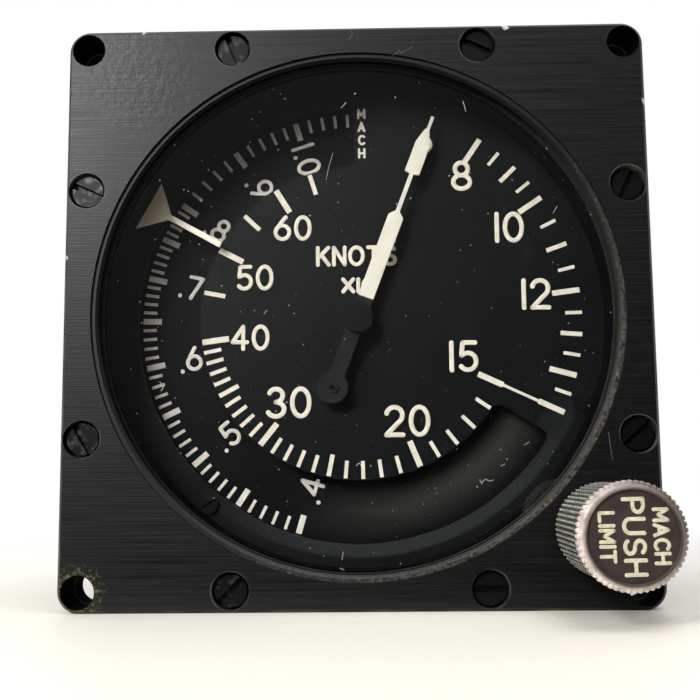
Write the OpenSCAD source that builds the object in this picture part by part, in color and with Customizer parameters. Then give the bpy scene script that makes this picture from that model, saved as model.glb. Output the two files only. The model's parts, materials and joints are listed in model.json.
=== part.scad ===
// Panel airspeed indicator with a turning sub-scale disc and a settable limit index.
// X points right, Y into the panel and Z up. The origin is the dial axis at the bezel's front face.
// All sizes are in millimetres. Clock angles run clockwise from the top, as seen from the front.

/* [Bezel] */
// Width and height of the square bezel
face_w = 82.55; // [82:0.05:84]
// Corner radius of the bezel and of the case flange
corner_r = 3; // [2:0.1:3.4]
// Chamfer round the front edge of the bezel
edge_chamfer = 0.4; // [0.2:0.1:0.8]
// Thickness of the bezel
bezel_t = 6.5; // [6.2:0.1:8]
// Least width of the bezel between its window and its sides
rim_w = 3.775; // [3.4:0.025:5]
// Distance of the panel holes from the sides of the bezel
panel_edge = 2.825; // [2.6:0.025:3.4]
// Radius of the panel holes
panel_hole_r = 2.3; // [2:0.05:2.4]

/* [Bezel screws] */
// Distance of each bezel screw from the middle of its side
screw_along = 17.63; // [16:0.05:19]
// Distance of the bezel screws from the sides of the bezel
screw_edge = 2.915; // [2.8:0.005:3.1]
// Radius of a bezel screw head
screw_head_r = 2.2; // [1.9:0.05:2.3]
// Radius of a bezel screw shank
screw_shank_r = 1.2; // [1:0.05:1.4]
// Depth of the screw counterbores
screw_sink = 2.4; // [2:0.1:3]
// Height of a bezel screw head
screw_head_h = 1.7; // [1.2:0.1:1.9]
// Width of a screwdriver slot
slot_w = 0.9; // [0.6:0.05:1]

/* [Window] */
// Depth of the retaining ring behind the front face
retainer_inset = 0.4; // [0.2:0.1:0.8]
// Thickness of the retaining ring
retainer_t = 0.8; // [0.6:0.1:1.2]
// Width of the window's edge that the retaining ring covers
retainer_w = 1; // [0.7:0.05:1.2]
// Thickness of the glass
glass_t = 2.5; // [2:0.1:3]
// Thickness of the rubber gasket behind the glass
glass_gasket_t = 1; // [0.6:0.1:1.2]

/* [Case] */
// Step from the sides of the bezel to the round case
case_step = 1.875; // [1.2:0.025:2.5]
// Wall of the round case
case_wall = 2.4; // [2:0.05:2.6]
// Thickness of the case flange behind the bezel
flange_t = 4; // [3.8:0.1:5]
// Thickness of the gasket between bezel and case
flange_gasket_t = 0.5; // [0.3:0.1:0.8]
// Empty length of the case behind the movement
rear_room = 18; // [14:0.5:24]
// Thickness of the rear cover
cover_t = 3; // [2.5:0.1:4]
// Thickness of the seal under the rear cover
cover_seal_t = 0.6; // [0.4:0.1:1]
// Number of rear cover screws
cover_screws = 6; // [4:1:8]

/* [Unions] */
// Distance of each pressure union from the middle plane
union_x = 14.5; // [14:0.1:15]
// Distance of the unions above the lowest line of the case's bore
union_rise = 10; // [9.8:0.1:10.4]
// Length of a union behind the rear cover
union_l = 16.4; // [14:0.2:20]
// Radius of a union's threaded end
union_r = 5; // [4:0.1:5.5]
// Width of a union's hexagon across its flats
union_hex = 14; // [12:0.5:15]

/* [Dial] */
// Thickness of the dial plate
dial_t = 0.8; // [0.6:0.1:1]
// Width of the dial outside its curved window
slot_edge = 3.65; // [3.5:0.05:5]
// Width of the curved window in the dial
slot_span = 9.25; // [8:0.05:9.5]
// Clock angle where the curved window starts
slot_from = 121.5; // [119:0.5:123]
// Clock angle where the curved window ends
slot_to = 359.3; // [358:0.1:359.5]
// Corner radius of the curved window
slot_corner = 1.2; // [0.6:0.1:1.6]
// Depth of the engraved scale marks
mark_d = 0.12; // [0.08:0.01:0.2]
// Radius of a dial screw head
dial_screw_r = 1.3; // [1:0.05:1.4]
// Depth of the turning scale disc behind the dial
disc_drop = 1.9; // [1.6:0.1:2.4]
// Thickness of the turning scale disc
disc_t = 0.4; // [0.3:0.05:0.5]

/* [Pointer] */
// Clock angle of the pointer at rest
pointer_rest = 20.8; // [0:0.1:30]
// Distance of the pointer's tip from the lip round the dial
tip_room = 3.62; // [2:0.02:6]
// Thickness of the pointer
pointer_t = 0.45; // [0.3:0.05:0.6]
// Width of the pointer's shaft
pointer_w = 2.3; // [2:0.05:2.8]
// Distance of the counterweight from the axis
weight_out = 10.9; // [10:0.1:12]
// Radius of the counterweight
weight_r = 2.35; // [2:0.05:2.8]
// Radius of the pointer's hub
hub_r = 2.2; // [2:0.05:2.6]

/* [Limit index] */
// Clock angle of the limit index at rest
index_rest = 299.2; // [285:0.1:310]
// Gap between the triangle's base and the lip round the dial
index_base_gap = 0.29; // [0.2:0.01:0.8]
// Height of the index triangle
index_head_l = 3.63; // [3:0.01:4.4]
// Length of the index line
index_line_l = 8.8; // [6:0.1:10]
// Half the width of the triangle's base
index_half_w = 3.85; // [3:0.05:4.2]
// Width of the index line
index_line_w = 0.85; // [0.6:0.05:1]
// Thickness of the index
index_t = 0.35; // [0.25:0.05:0.4]
// Module of the limit ring and its pinion
limit_module = 0.6; // [0.55:0.005:0.65]
// Distance of the limit ring's pitch circle from the sides of the bezel
limit_edge = 3.175; // [3:0.025:4]
// Wall between the limit pinion's pocket and the panel hole
pocket_wall = 1.19; // [0.8:0.01:1.6]

/* [Knob] */
// Clock angle of the knob round the dial axis
knob_clock = 133.35; // [132:0.05:135]
// Radius of the knob's rim
knob_r = 6.6; // [6.2:0.05:6.8]
// Length of the knob
knob_l = 18.2; // [16:0.1:20]
// Gap between the knob and the bezel at rest
knob_gap = 1.8; // [1.7:0.05:2.4]
// Travel of the knob when pushed
push_travel = 1.5; // [1:0.05:1.6]
// Number of flutes round the knob
knob_flutes = 56; // [40:1:64]
// Radius of the knob's shaft
knob_shaft_r = 1.6; // [1.4:0.05:1.8]

/* [Movement] */
// Thickness of the movement's plates
plate_t = 2; // [1.8:0.1:2.4]
// Distance between the movement's plates
plate_gap = 28.2; // [27.6:0.1:32]
// Length of the ring that carries the dial
support_l = 4.2; // [3.9:0.1:5]
// Module of the airspeed sector and its pinion
air_module = 0.35; // [0.34:0.005:0.36]
// Module of the scale disc's sector and gear
mach_module = 0.4; // [0.39:0.005:0.41]
// Radius of the pressure capsules
capsule_r = 10.5; // [9.5:0.1:10.8]
// Distance of the capsules' seat above the lowest line of the case's bore
capsule_rise = 8.5; // [8.2:0.1:8.8]
// Height of a capsule with its bosses
capsule_h = 10.5; // [9:0.1:11]
// Turns of the hairspring
hairspring_turns = 4; // [3:1:5]

/* [Clearances] */
// Radial gap of a running fit
run_gap = 0.06; // [0.03:0.01:0.09]
// Radial gap of a fixed fit
fit_gap = 0.03; // [0.02:0.01:0.05]
// End gap of a turning part
thrust_gap = 0.1; // [0.08:0.01:0.2]
// Play between two meshing teeth
backlash = 0.05; // [0.04:0.01:0.08]

/* [Hidden] */
$fn = 96;
cut = 1;

// Radii and pitches that follow the sides of the bezel
window_r = face_w / 2 - rim_w;
retainer_in_r = window_r - retainer_w;
panel_pitch = face_w - 2 * panel_edge;
screw_out = face_w / 2 - screw_edge;
case_r = face_w / 2 - case_step;
case_bore_r = case_r - case_wall;
union_drop = case_bore_r - union_rise;
capsule_seat = case_bore_r - capsule_rise;

// Depths of the window stack
glass_front = retainer_inset + retainer_t;
glass_back = glass_front + glass_t;
glass_seat = glass_back + glass_gasket_t;
glass_edge_gap = 0.1;
retainer_bevel = 0.4;
gasket_step = 0.3;

// Depths of the flange, the limit ring and the dial
flange_front = bezel_t + flange_gasket_t;
flange_back = flange_front + flange_t;
spigot_l = 1.3;
spigot_end = flange_front + spigot_l;
ring_t = 1.1;
ring_front = spigot_end + thrust_gap;
ring_back = ring_front + ring_t;
nose_gap = 0.15;
nose_end = ring_back - index_t - nose_gap;
lug_t = 0.35;
lug_back = ring_back + lug_t;
ledge_y = lug_back + thrust_gap;
dial_setback = 0.85;
dial_front = ledge_y + dial_setback;
dial_back = dial_front + dial_t;
disc_front = dial_back + disc_drop;
disc_back = disc_front + disc_t;
plate_front = dial_back + support_l;
plate_back = plate_front + plate_t;
rear_plate_front = plate_back + plate_gap;
rear_plate_back = rear_plate_front + plate_t;
case_end = rear_plate_back + rear_room;
cover_front = case_end + cover_seal_t;
cover_back = cover_front + cover_t;
union_end = cover_back + union_l;

// Gear sizes: teeth are cut to 25 degrees with a short addendum
pressure_angle = 25;
addendum = 0.8;
dedendum = 1;
function pitch_r(teeth, mod) = teeth * mod / 2;
function tip_r(teeth, mod) = pitch_r(teeth, mod) + addendum * mod;
function root_r(teeth, mod) = pitch_r(teeth, mod) - dedendum * mod;

// Teeth that the limit ring and its pinion have room for
tooth_room = 0.3;
limit_teeth = round((face_w - 2 * limit_edge) / limit_module);
corner_room = norm([panel_pitch, panel_pitch]) / 2 - panel_hole_r - pitch_r(limit_teeth, limit_module);
pinion_room = corner_room - pocket_wall - tooth_room - addendum * limit_module;
limit_pinion_teeth = floor(pinion_room / limit_module);

// Radii of the limit ring, the nose that it runs on and the bore round it
ring_rim = 0.6;
nose_wall = 0.72;
ring_bore_r = root_r(limit_teeth, limit_module) - ring_rim;
nose_r = ring_bore_r - run_gap;
lip_r = nose_r - nose_wall;
index_base_r = lip_r - index_base_gap;
index_apex_r = index_base_r - index_head_l;
index_in_r = index_apex_r - index_line_l;
pointer_l = lip_r - tip_room;
flange_bore_r = tip_r(limit_teeth, limit_module) + tooth_room;
spigot_r = flange_bore_r - fit_gap;
knob_axis_r = pitch_r(limit_teeth, limit_module) + pitch_r(limit_pinion_teeth, limit_module);
pocket_r = tip_r(limit_pinion_teeth, limit_module) + tooth_room;
pocket_room = 0.4;
pocket_floor = ring_back + pocket_room;
lug_half_w = 1.5;
lug_setback = 1.3;
lug_in_r = index_apex_r + lug_setback;

// Knob, its shaft and the clutch that it works
knob_back = -knob_gap;
knob_front = knob_back - knob_l;
knob_flute_d = 0.25;
knob_rim_t = 1.5;
knob_rim_step = 0.4;
knob_lip_w = 1.2;
knob_dish_r = knob_r - knob_lip_w;
knob_dish_d = 0.8;
legend_t = 0.4;
spring_hole_r = 3.9;
spring_hole_d = 7.2;
knob_end_t = 4;
shaft_front = knob_front + knob_end_t;
set_screw_r = 0.8;
set_screw_recess = 1.6;
set_screw_y = (shaft_front + knob_back - spring_hole_d) / 2;
bush_r = 2.95;
bush_flange_r = 3.6;
bush_flange_t = 0.9;
clutch_pocket_d = 2.3;
clutch_pocket_y = bezel_t - clutch_pocket_d;
clutch_room = 0.4;
clutch_r = 4.2;
clutch_t = 1;
clutch_end_gap = 0.5;
clutch_front = clutch_pocket_y + clutch_end_gap;
clutch_back = clutch_front + clutch_t;
clutch_pin_r = 1;
clutch_gap = 0.2;
facing_front = clutch_back + push_travel + clutch_gap;
facing_t = 0.3;
facing_back = facing_front + facing_t;
facing_r = 3.6;
facing_bore_gap = 0.2;
stud_r = 1.4;
stud_collar_r = 2.2;
stud_collar_t = pocket_floor - ring_back - thrust_gap;
stud_shank_r = 1.2;
stud_recess = 0.1;
seal_wire_r = 0.4;
seal_room = 0.1;
seal_y = clutch_pocket_y / 2;
washer_t = 0.4;
washer_gap = 0.2;
spring_wire_r = 0.3;
spring_mean_r = 2.8;
spring_turns = 6;

// Screw rooms and case details
screw_head_room = 0.38;
screw_end_wall = 1;
screw_tip_gap = 0.2;
blind_wall = 0.6;
ledge_w = 1;
case_ledge_r = case_bore_r - ledge_w;
ledge_t = 2;
boss_edge = 2.7;
boss_out = case_bore_r - boss_edge;
boss_r = 3;
boss_l = 6;
rear_flange_w = 2;
rear_flange_r = case_bore_r - rear_flange_w;
rear_flange_t = 4;
cover_spigot_l = 1.5;
cover_screw_out = (case_r + rear_flange_r) / 2;
cover_screw_head_r = 2.2;
cover_screw_head_h = 1.5;
cover_screw_r = 1.2;
cover_screw_l = 5.6;
union_shank_r = 3.5;
union_bore_r = 2;
union_hex_t = 4.4;
union_inside = 2;
union_flare = 2;

// Dial and scale disc
dial_gap = 0.4;
dial_r = case_bore_r - dial_gap;
slot_out_r = dial_r - slot_edge;
slot_in_r = slot_out_r - slot_span;
dial_hole_r = 2;
support_w = 3;
support_in_r = dial_r - support_w;
disc_edge_gap = 0.4;
disc_r = support_in_r - disc_edge_gap;
dial_screw_edge = 1.7;
dial_screw_out = dial_r - dial_screw_edge;
dial_screw_h = 0.6;
dial_screw_shank_r = 0.7;
dial_screw_bite = 1;
dial_screw_clocks = [111, 219.3, 345];
dial_screw_turn = 20;
dial_slot_w = slot_w / 2;

// Scale law: each row is a reading and its clock angle
knots_scale = [[6, 19.5], [8, 34.25], [10, 56.5], [12, 82.75], [15, 115], [20, 157.75],
    [25, 191.25], [30, 218.5], [35, 241.75], [40, 262.5], [45, 281], [50, 297.75],
    [55, 313.5], [60, 328.5], [65, 342.25]];
mach_scale = [[0.4, 196.3], [0.5, 229.5], [0.6, 258.3], [0.7, 282.8], [0.8, 304.7],
    [0.9, 325], [1, 343.2], [1.08, 357.5]];
function scale_clock(value, scale) = lookup(ln(value), [for (row = scale) [ln(row[0]), row[1]]]);
// Scale marks: margin of the outer end, then length and width of long, middle and short marks
outer_scale_edge = 3.3;
outer_scale_r = dial_r - outer_scale_edge;
outer_marks = marks_from(outer_scale_r, [[4.1, 0.8], [3.2, 0.65], [2.5, 0.5]]);
inner_scale_edge = 0.2;
inner_scale_r = slot_in_r - inner_scale_edge;
inner_marks = marks_from(inner_scale_r, [[4, 0.85], [3.2, 0.65], [2.6, 0.55]]);
disc_scale_edge = 0.4;
disc_scale_r = disc_r - disc_scale_edge;
disc_marks = marks_from(disc_scale_r, [[2.8, 0.87], [2.05, 0.46]]);
// The inner end and the width of each kind of mark
function marks_from(r, sizes) = [for (size = sizes) [r - size[0], size[1]]];
join_reading = 15;
join_line_w = 0.4;

// Pointer outline: lengths back from the tip
pointer_gap = 0.4;
pointer_back = ring_back - index_t - pointer_gap;
pointer_front = pointer_back - pointer_t;
tip_w = 0.45;
tip_l = 2.1125;
head_to = pointer_l - tip_l;
head_nose_l = 2.47;
head_shoulder = head_to - head_nose_l;
head_w = 2.25;
head_l = 4.81;
head_from = head_shoulder - head_l;
head_step = 0.2;
neck_w = 0.6;
neck_l = 6.0125;
neck_from = head_from - neck_l;
taper_l = 0.845;
taper_from = neck_from - taper_l;
hub_cap_t = 0.8;
hub_boss_r = 1.5;
hub_front = pointer_front - hub_cap_t;
hub_tail = 0.65;
hub_back = pointer_back + hub_tail;
weight_boss_r = 0.85;
weight_boss_h = 0.3;
weight_hole_r = 0.35;

// Staff, sleeve and bearings
staff_r = 1.2;
staff_tip_r = 0.8;
staff_rear_r = 1;
pivot_r = 0.75;
staff_step_at = 6.2;
staff_step = plate_back + staff_step_at;
sleeve_in_r = staff_r + run_gap;
sleeve_r = 2.5;
sleeve_flange_r = 4.2;
sleeve_flange_t = 0.6;
sleeve_end_at = 4.7;
sleeve_back = plate_back + sleeve_end_at;
disc_boss_r = 4;
bearing_r = 4.2;
bearing_flange_r = 5.5;
bearing_flange_t = 0.4;
bearing_over = 0.4;
bearing_end = plate_back + bearing_over;
disc_boss_back = plate_front - bearing_flange_t - thrust_gap;
staff_bearing_r = 2.5;

// Sectors: both face the dial axis at mid travel, and rest a few teeth to one side
air_teeth = 100;
air_pinion_teeth = 10;
air_rest_teeth = 4.5;
air_sector_side = 7;
air_rest = air_rest_teeth * 360 / air_teeth;
air_pivot_x = -(pitch_r(air_teeth, air_module) + pitch_r(air_pinion_teeth, air_module));
air_gear_at = 18.5;
air_gear_y = plate_back + air_gear_at;
pinion_over = 0.3;
mach_teeth = 80;
mach_gear_teeth = 20;
mach_rest_teeth = 3;
mach_sector_side = 6;
mach_rest = -mach_rest_teeth * 360 / mach_teeth;
mach_pivot_x = pitch_r(mach_teeth, mach_module) + pitch_r(mach_gear_teeth, mach_module);
mach_gear_at = 2.3;
mach_gear_y = plate_back + mach_gear_at;
gear_t = 1.5;
gear_hub_r = 3.2;
sector_rim = 2.6;
sector_arm_w = 4;
arbor_r = 1.5;
arbor_play = 0.1;
crank_t = 1.5;
crank_at = 10.7;
crank_y = plate_back + crank_at;
crank_pin_r = 0.8;
crank_pin_l = 2.4;
crank_end_r = 1.6;
air_crank = -union_x - air_pivot_x;
mach_crank_l = mach_pivot_x - union_x;

// Capsules, their links and the bridge that carries them
link_t = 1.4;
link_gap = 0.3;
link_y = crank_y + crank_t + link_gap;
capsule_y = link_y + link_t / 2;
capsule_boss_r = 3;
capsule_boss_h = 3;
capsule_rim_t = 0.8;
capsule_rim_w = 1;
capsule_waves = 3;
capsule_wave_h = 0.35;
capsule_top = -capsule_seat + capsule_h;
stem_gap = 0.05;
stem_r = 2.2;
stem_l = 7;
stem_slot_d = 3.5;
stem_base = capsule_top + stem_gap;
link_w = 2.4;
link_eye_r = 2.2;
link_eye_play = 0.12;
link_slot = 0.45;
bridge_t = 2;
bridge_half_w = 19;
bridge_tab_h = 6;
bridge_bottom = -capsule_seat - bridge_t;
bridge_screw_x = 7;
bridge_screw_up = 1.6;
bridge_screw_z = bridge_bottom + bridge_t + bridge_screw_up;
pillar_r = 2.2;
pillar_rivet_r = 1.2;
pillar_side_room = 12.3;
pillar_x = boss_out - pillar_side_room;
pillar_top_room = 16.3;
pillar_z = boss_out - pillar_top_room;
plate_edge_gap = 0.2;
rear_plate_room = 1;
rear_plate_r = rear_flange_r - rear_plate_room;
small_screw_head_r = 1.7;
small_screw_r = 0.9;
small_screw_head_h = 0.8;
small_screw_l = 5.5;
small_screw_room = 0.5;
pipe_r = 1.2;
pipe_bore_r = 0.8;
pipe_setback = 0.3;
hairspring_at = 4.5;
hairspring_y = rear_plate_front - hairspring_at;
hairspring_h = 1.4;
hairspring_in_r = 2.5;
hairspring_out_r = 8;
hairspring_t = 0.15;
collet_r = 2.2;
collet_h = 2.4;
collet_lead = 0.5;
stud_post_r = 0.8;

// A point at a clock angle, as X and Z
function clock(r, a) = [r * sin(a), r * cos(a)];
knob_at = clock(knob_axis_r, knob_clock);

// A flat outline in X and Z, drawn from depth y0 to depth y1
module along_y(y0, y1) {
    translate([0, y1, 0])
        rotate([90, 0, 0])
            linear_extrude(y1 - y0)
                children();
}

// A turned shape round the Y axis, from a profile of [radius, depth] points
module turned(profile) {
    rotate([-90, 0, 0])
        rotate_extrude()
            polygon(profile);
}

// A disc or pin round the Y axis
module disc(r, y0, y1) {
    translate([0, y0, 0])
        rotate([-90, 0, 0])
            cylinder(r = r, h = y1 - y0);
}

// A flat ring round the Y axis
module ring(r_in, r_out, y0, y1) {
    difference() {
        disc(r_out, y0, y1);
        disc(r_in, y0 - cut, y1 + cut);
    }
}

module at_xz(p) {
    translate([p[0], 0, p[1]])
        children();
}

module at_clock(r, a) {
    at_xz(clock(r, a))
        children();
}

module at_panel_holes() {
    for (sx = [-1, 1], sz = [-1, 1])
        at_xz([sx, sz] * panel_pitch / 2)
            children();
}

// The eight bezel screw places, two on each side, with each slot's own direction
bezel_screw_slots = [
    [[-screw_along, screw_out], -22], [[screw_along, screw_out], 115],
    [[screw_out, screw_along], 25], [[screw_out, -screw_along], 50],
    [[screw_along, -screw_out], 90], [[-screw_along, -screw_out], 45],
    [[-screw_out, -screw_along], -30], [[-screw_out, screw_along], 115]];

module at_bezel_screws() {
    for (place = bezel_screw_slots)
        at_xz(place[0])
            rotate([0, place[1], 0])
                children();
}

// A square plate with round corners and an optional chamfer on its front edge
module square_plate(y0, y1, chamfer) {
    half = face_w / 2;
    inner = half - corner_r;
    for (turn = [0, 90])
        rotate([0, turn, 0])
            translate([0, 0, -inner])
                linear_extrude(2 * inner)
                    polygon([[-half, y0 + chamfer], [-half + chamfer, y0], [half - chamfer, y0],
                        [half, y0 + chamfer], [half, y1], [-half, y1]]);
    for (sx = [-1, 1], sz = [-1, 1])
        at_xz([sx, sz] * inner)
            turned([[0, y0], [corner_r - chamfer, y0], [corner_r, y0 + chamfer], [corner_r, y1], [0, y1]]);
}

// Involute of a base circle at radius r, in degrees
function involute(r, base) = r <= base ? 0 : tan(acos(base / r)) * 180 / PI - acos(base / r);

// Half the angle that a tooth spans at radius r
function half_tooth(r, teeth, mod) =
    let (pitch = pitch_r(teeth, mod), base = pitch * cos(pressure_angle))
    90 / teeth - backlash / 2 / pitch * 180 / PI + involute(pitch, base) - involute(r, base);

// One tooth's outline, centred on a clock angle, with a few points up each flank
function tooth(teeth, mod, a, steps) =
    let (low = root_r(teeth, mod), high = tip_r(teeth, mod),
        radii = [for (i = [0:steps]) low + (high - low) * i / steps])
    concat([for (i = [0:steps]) clock(radii[i], a - half_tooth(radii[i], teeth, mod))],
        [for (i = [steps:-1:0]) clock(radii[i], a + half_tooth(radii[i], teeth, mod))]);

// A whole gear, with a tooth at the given clock angle
module gear_outline(teeth, mod, a, steps) {
    polygon([for (i = [0:teeth - 1]) each tooth(teeth, mod, a + i * 360 / teeth, steps)]);
}

// The toothed rim of a gear sector, with a tooth at the given clock angle
module sector_rim_outline(teeth, mod, a, side) {
    step = 360 / teeth;
    rim_r = root_r(teeth, mod) - sector_rim;
    rim_points = 8;
    rim_half = (side + 0.5) * step;
    polygon(concat([for (i = [-side:side]) each tooth(teeth, mod, a + i * step, 2)],
        [for (i = [rim_points:-1:-rim_points]) clock(rim_r, a + rim_half * i / rim_points)]));
}

// A gear sector on its arm and hub
module sector(teeth, mod, a, side, y0) {
    difference() {
        union() {
            along_y(y0, y0 + gear_t)
                sector_rim_outline(teeth, mod, a, side);
            rotate([0, a, 0])
                translate([-sector_arm_w / 2, y0, 0])
                    cube([sector_arm_w, gear_t, root_r(teeth, mod) - sector_rim / 2]);
            disc(gear_hub_r, y0, y0 + gear_t);
        }
        disc(arbor_r + fit_gap, y0 - cut, y0 + gear_t + cut);
    }
}

// A slotted screw head that looks forwards, with its slot upright
module slotted_head(r, y0, y1) {
    slot_d = 0.45 * (y1 - y0);
    difference() {
        disc(r, y0, y1);
        translate([-slot_w / 2, y0 - cut, -r - cut])
            cube([slot_w, slot_d + cut, 2 * r + 2 * cut]);
    }
}

// A countersunk screw whose head is flush at depth y0 and whose shank runs along +Y
module small_screw(y0) {
    slot_d = 0.35;
    driver_w = 0.4;
    difference() {
        turned([[0, y0], [small_screw_head_r, y0], [small_screw_r, y0 + small_screw_head_h],
            [small_screw_r, y0 + small_screw_l], [0, y0 + small_screw_l]]);
        translate([-driver_w / 2, y0 - cut, -small_screw_head_r - cut])
            cube([driver_w, slot_d + cut, 2 * small_screw_head_r + 2 * cut]);
    }
}

module small_screw_hole(y0, length) {
    r = small_screw_r + fit_gap;
    top = small_screw_head_r + fit_gap;
    turned([[0, y0 - cut], [top, y0 - cut], [top, y0], [r, y0 + small_screw_head_h],
        [r, y0 + length], [0, y0 + length]]);
}

// Places of the small screws of the movement, as X and Z
case_screw_clocks = [60, 180, 300];
bridge_screw_places = [[-bridge_screw_x, bridge_screw_z], [bridge_screw_x, bridge_screw_z]];
pillar_places = [[-pillar_x, pillar_z], [pillar_x, pillar_z]];
rear_screw_places = concat(bridge_screw_places, pillar_places);

module at_front_screws() {
    for (a = case_screw_clocks)
        at_clock(boss_out, a)
            children();
    for (p = bridge_screw_places)
        at_xz(p)
            children();
}

// The rear screws look backwards: their own +Y points forwards
module at_rear_screws() {
    for (p = rear_screw_places)
        at_xz(p)
            translate([0, rear_plate_back, 0])
                rotate([0, 0, 180])
                    children();
}

// Front parts

module bezel() {
    color("#1b1b1d")
        difference() {
            union() {
                square_plate(0, bezel_t, edge_chamfer);
                disc(spigot_r, bezel_t - cut, spigot_end);
                disc(nose_r, bezel_t - cut, nose_end);
            }
            disc(window_r, -cut, glass_seat);
            disc(lip_r, -cut, nose_end + cut);
            at_panel_holes()
                disc(panel_hole_r, -cut, bezel_t + cut);
            at_bezel_screws() {
                disc(screw_head_r + screw_head_room, -cut, screw_sink);
                disc(screw_shank_r + run_gap, -cut, bezel_t + cut);
            }
            at_xz(knob_at) {
                disc(bush_r + fit_gap, -cut, bezel_t);
                disc(clutch_r + clutch_room, clutch_pocket_y, bezel_t + cut);
            }
        }
}

module bezel_screws() {
    color("#2a2a2c")
        at_bezel_screws() {
            slotted_head(screw_head_r, screw_sink - screw_head_h, screw_sink);
            disc(screw_shank_r, screw_sink, flange_back - screw_end_wall);
        }
}

module glass_retaining_ring() {
    color("#5c574a")
        turned([[retainer_in_r, glass_front], [retainer_in_r, glass_front - retainer_t / 2],
            [retainer_in_r + retainer_bevel, retainer_inset], [window_r - fit_gap, retainer_inset],
            [window_r - fit_gap, glass_front]]);
}

module window_glass() {
    color("#dfe8ea", 0.25)
        disc(window_r - glass_edge_gap, glass_front, glass_back);
}

module glass_gasket() {
    color("#141414")
        ring(lip_r + gasket_step, window_r - glass_edge_gap, glass_back, glass_seat);
}

module flange_gasket() {
    color("#30302c")
        difference() {
            square_plate(bezel_t, flange_front, 0);
            disc(flange_bore_r, bezel_t - cut, flange_front + cut);
            at_panel_holes()
                disc(panel_hole_r, bezel_t - cut, flange_front + cut);
            at_bezel_screws()
                disc(screw_shank_r + run_gap, bezel_t - cut, flange_front + cut);
            at_xz(knob_at)
                disc(pocket_r, bezel_t - cut, flange_front + cut);
        }
}

module case_body() {
    screw_hole_end = flange_back - screw_end_wall + screw_tip_gap;
    color("#202022")
        difference() {
            union() {
                square_plate(flange_front, flange_back, 0);
                difference() {
                    disc(case_r, flange_back - cut, case_end);
                    disc(case_bore_r, flange_back - 2 * cut, case_end + cut);
                }
                ring(case_ledge_r, case_r - cut, plate_back, plate_back + ledge_t);
                ring(rear_flange_r, case_r - cut, case_end - rear_flange_t, case_end);
                intersection() {
                    for (a = case_screw_clocks)
                        at_clock(boss_out, a)
                            disc(boss_r, plate_back, plate_back + boss_l);
                    disc(case_r - cut, plate_back, plate_back + boss_l);
                }
            }
            disc(flange_bore_r, flange_front - cut, ledge_y);
            disc(case_bore_r, flange_front - cut, plate_back);
            at_panel_holes()
                disc(panel_hole_r, flange_front - cut, flange_back + cut);
            at_bezel_screws()
                disc(screw_shank_r + fit_gap, flange_front - cut, screw_hole_end);
            at_xz(knob_at) {
                disc(pocket_r, flange_front - cut, pocket_floor);
                disc(stud_shank_r + fit_gap, flange_front - cut, flange_back + cut);
            }
            for (a = case_screw_clocks)
                at_clock(boss_out, a)
                    disc(small_screw_r + fit_gap, plate_back - cut, plate_back + boss_l - blind_wall);
            at_cover_screws()
                disc(cover_screw_r + fit_gap, case_end - rear_flange_t + blind_wall, case_end + cut);
        }
}

// Rear cover and pressure unions

module at_cover_screws() {
    for (i = [0:cover_screws - 1])
        at_clock(cover_screw_out, i * 360 / cover_screws)
            children();
}

module at_unions() {
    for (side = [-1, 1])
        at_xz([side * union_x, -union_drop])
            children();
}

module rear_cover() {
    color("#242426")
        difference() {
            union() {
                disc(case_r, cover_front, cover_back);
                disc(rear_flange_r - run_gap, case_end - cover_spigot_l, cover_front + cut);
            }
            at_cover_screws()
                disc(cover_screw_r + run_gap, cover_front - cut, cover_back + cut);
            at_unions()
                disc(union_shank_r + fit_gap, case_end - cover_spigot_l - cut, cover_back + cut);
        }
}

module rear_cover_seal() {
    color("#30302c")
        difference() {
            ring(rear_flange_r, case_r, case_end, cover_front);
            at_cover_screws()
                disc(cover_screw_r + run_gap, case_end - cut, cover_front + cut);
        }
}

module rear_cover_screws() {
    color("#6d6e70")
        at_cover_screws() {
            rotate([180, 0, 0])
                slotted_head(cover_screw_head_r, -cover_back - cover_screw_head_h, -cover_back);
            disc(cover_screw_r, cover_back - cover_screw_l - cut, cover_back);
        }
}

// A union: inner shank, hexagon and threaded end with a flared seat
module union_body() {
    inner_end = case_end - cover_spigot_l - union_inside;
    hex_end = cover_back + union_hex_t;
    disc(union_shank_r, inner_end, cover_back + cut);
    along_y(cover_back, hex_end)
        circle(d = union_hex / cos(30), $fn = 6);
    turned([[0, hex_end - cut], [union_r, hex_end - cut], [union_r, union_end - union_flare],
        [union_r - union_flare / 2, union_end], [0, union_end]]);
}

module pitot_union() {
    pipe_seat = cover_back + union_hex_t / 2;
    color("#8d8f92")
        at_xz([-union_x, -union_drop])
            difference() {
                union_body();
                disc(pipe_r + fit_gap, 0, pipe_seat);
                disc(pipe_bore_r, 0, union_end);
                disc(union_bore_r, cover_back + union_hex_t, union_end + cut);
            }
}

module static_union() {
    color("#8d8f92")
        at_xz([union_x, -union_drop])
            difference() {
                union_body();
                disc(union_bore_r, 0, union_end + cut);
            }
}

// Dial parts

// One scale mark, cut into the face at depth y0
module mark(a, r_in, r_out, w, y0) {
    rotate([0, a, 0])
        translate([-w / 2, y0 - cut, r_in])
            cube([w, mark_d + cut, r_out - r_in]);
}

module knots_mark(value, kinds, kind, r_out) {
    mark(scale_clock(value, knots_scale), kinds[kind][0], r_out, kinds[kind][1], dial_front);
}

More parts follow.
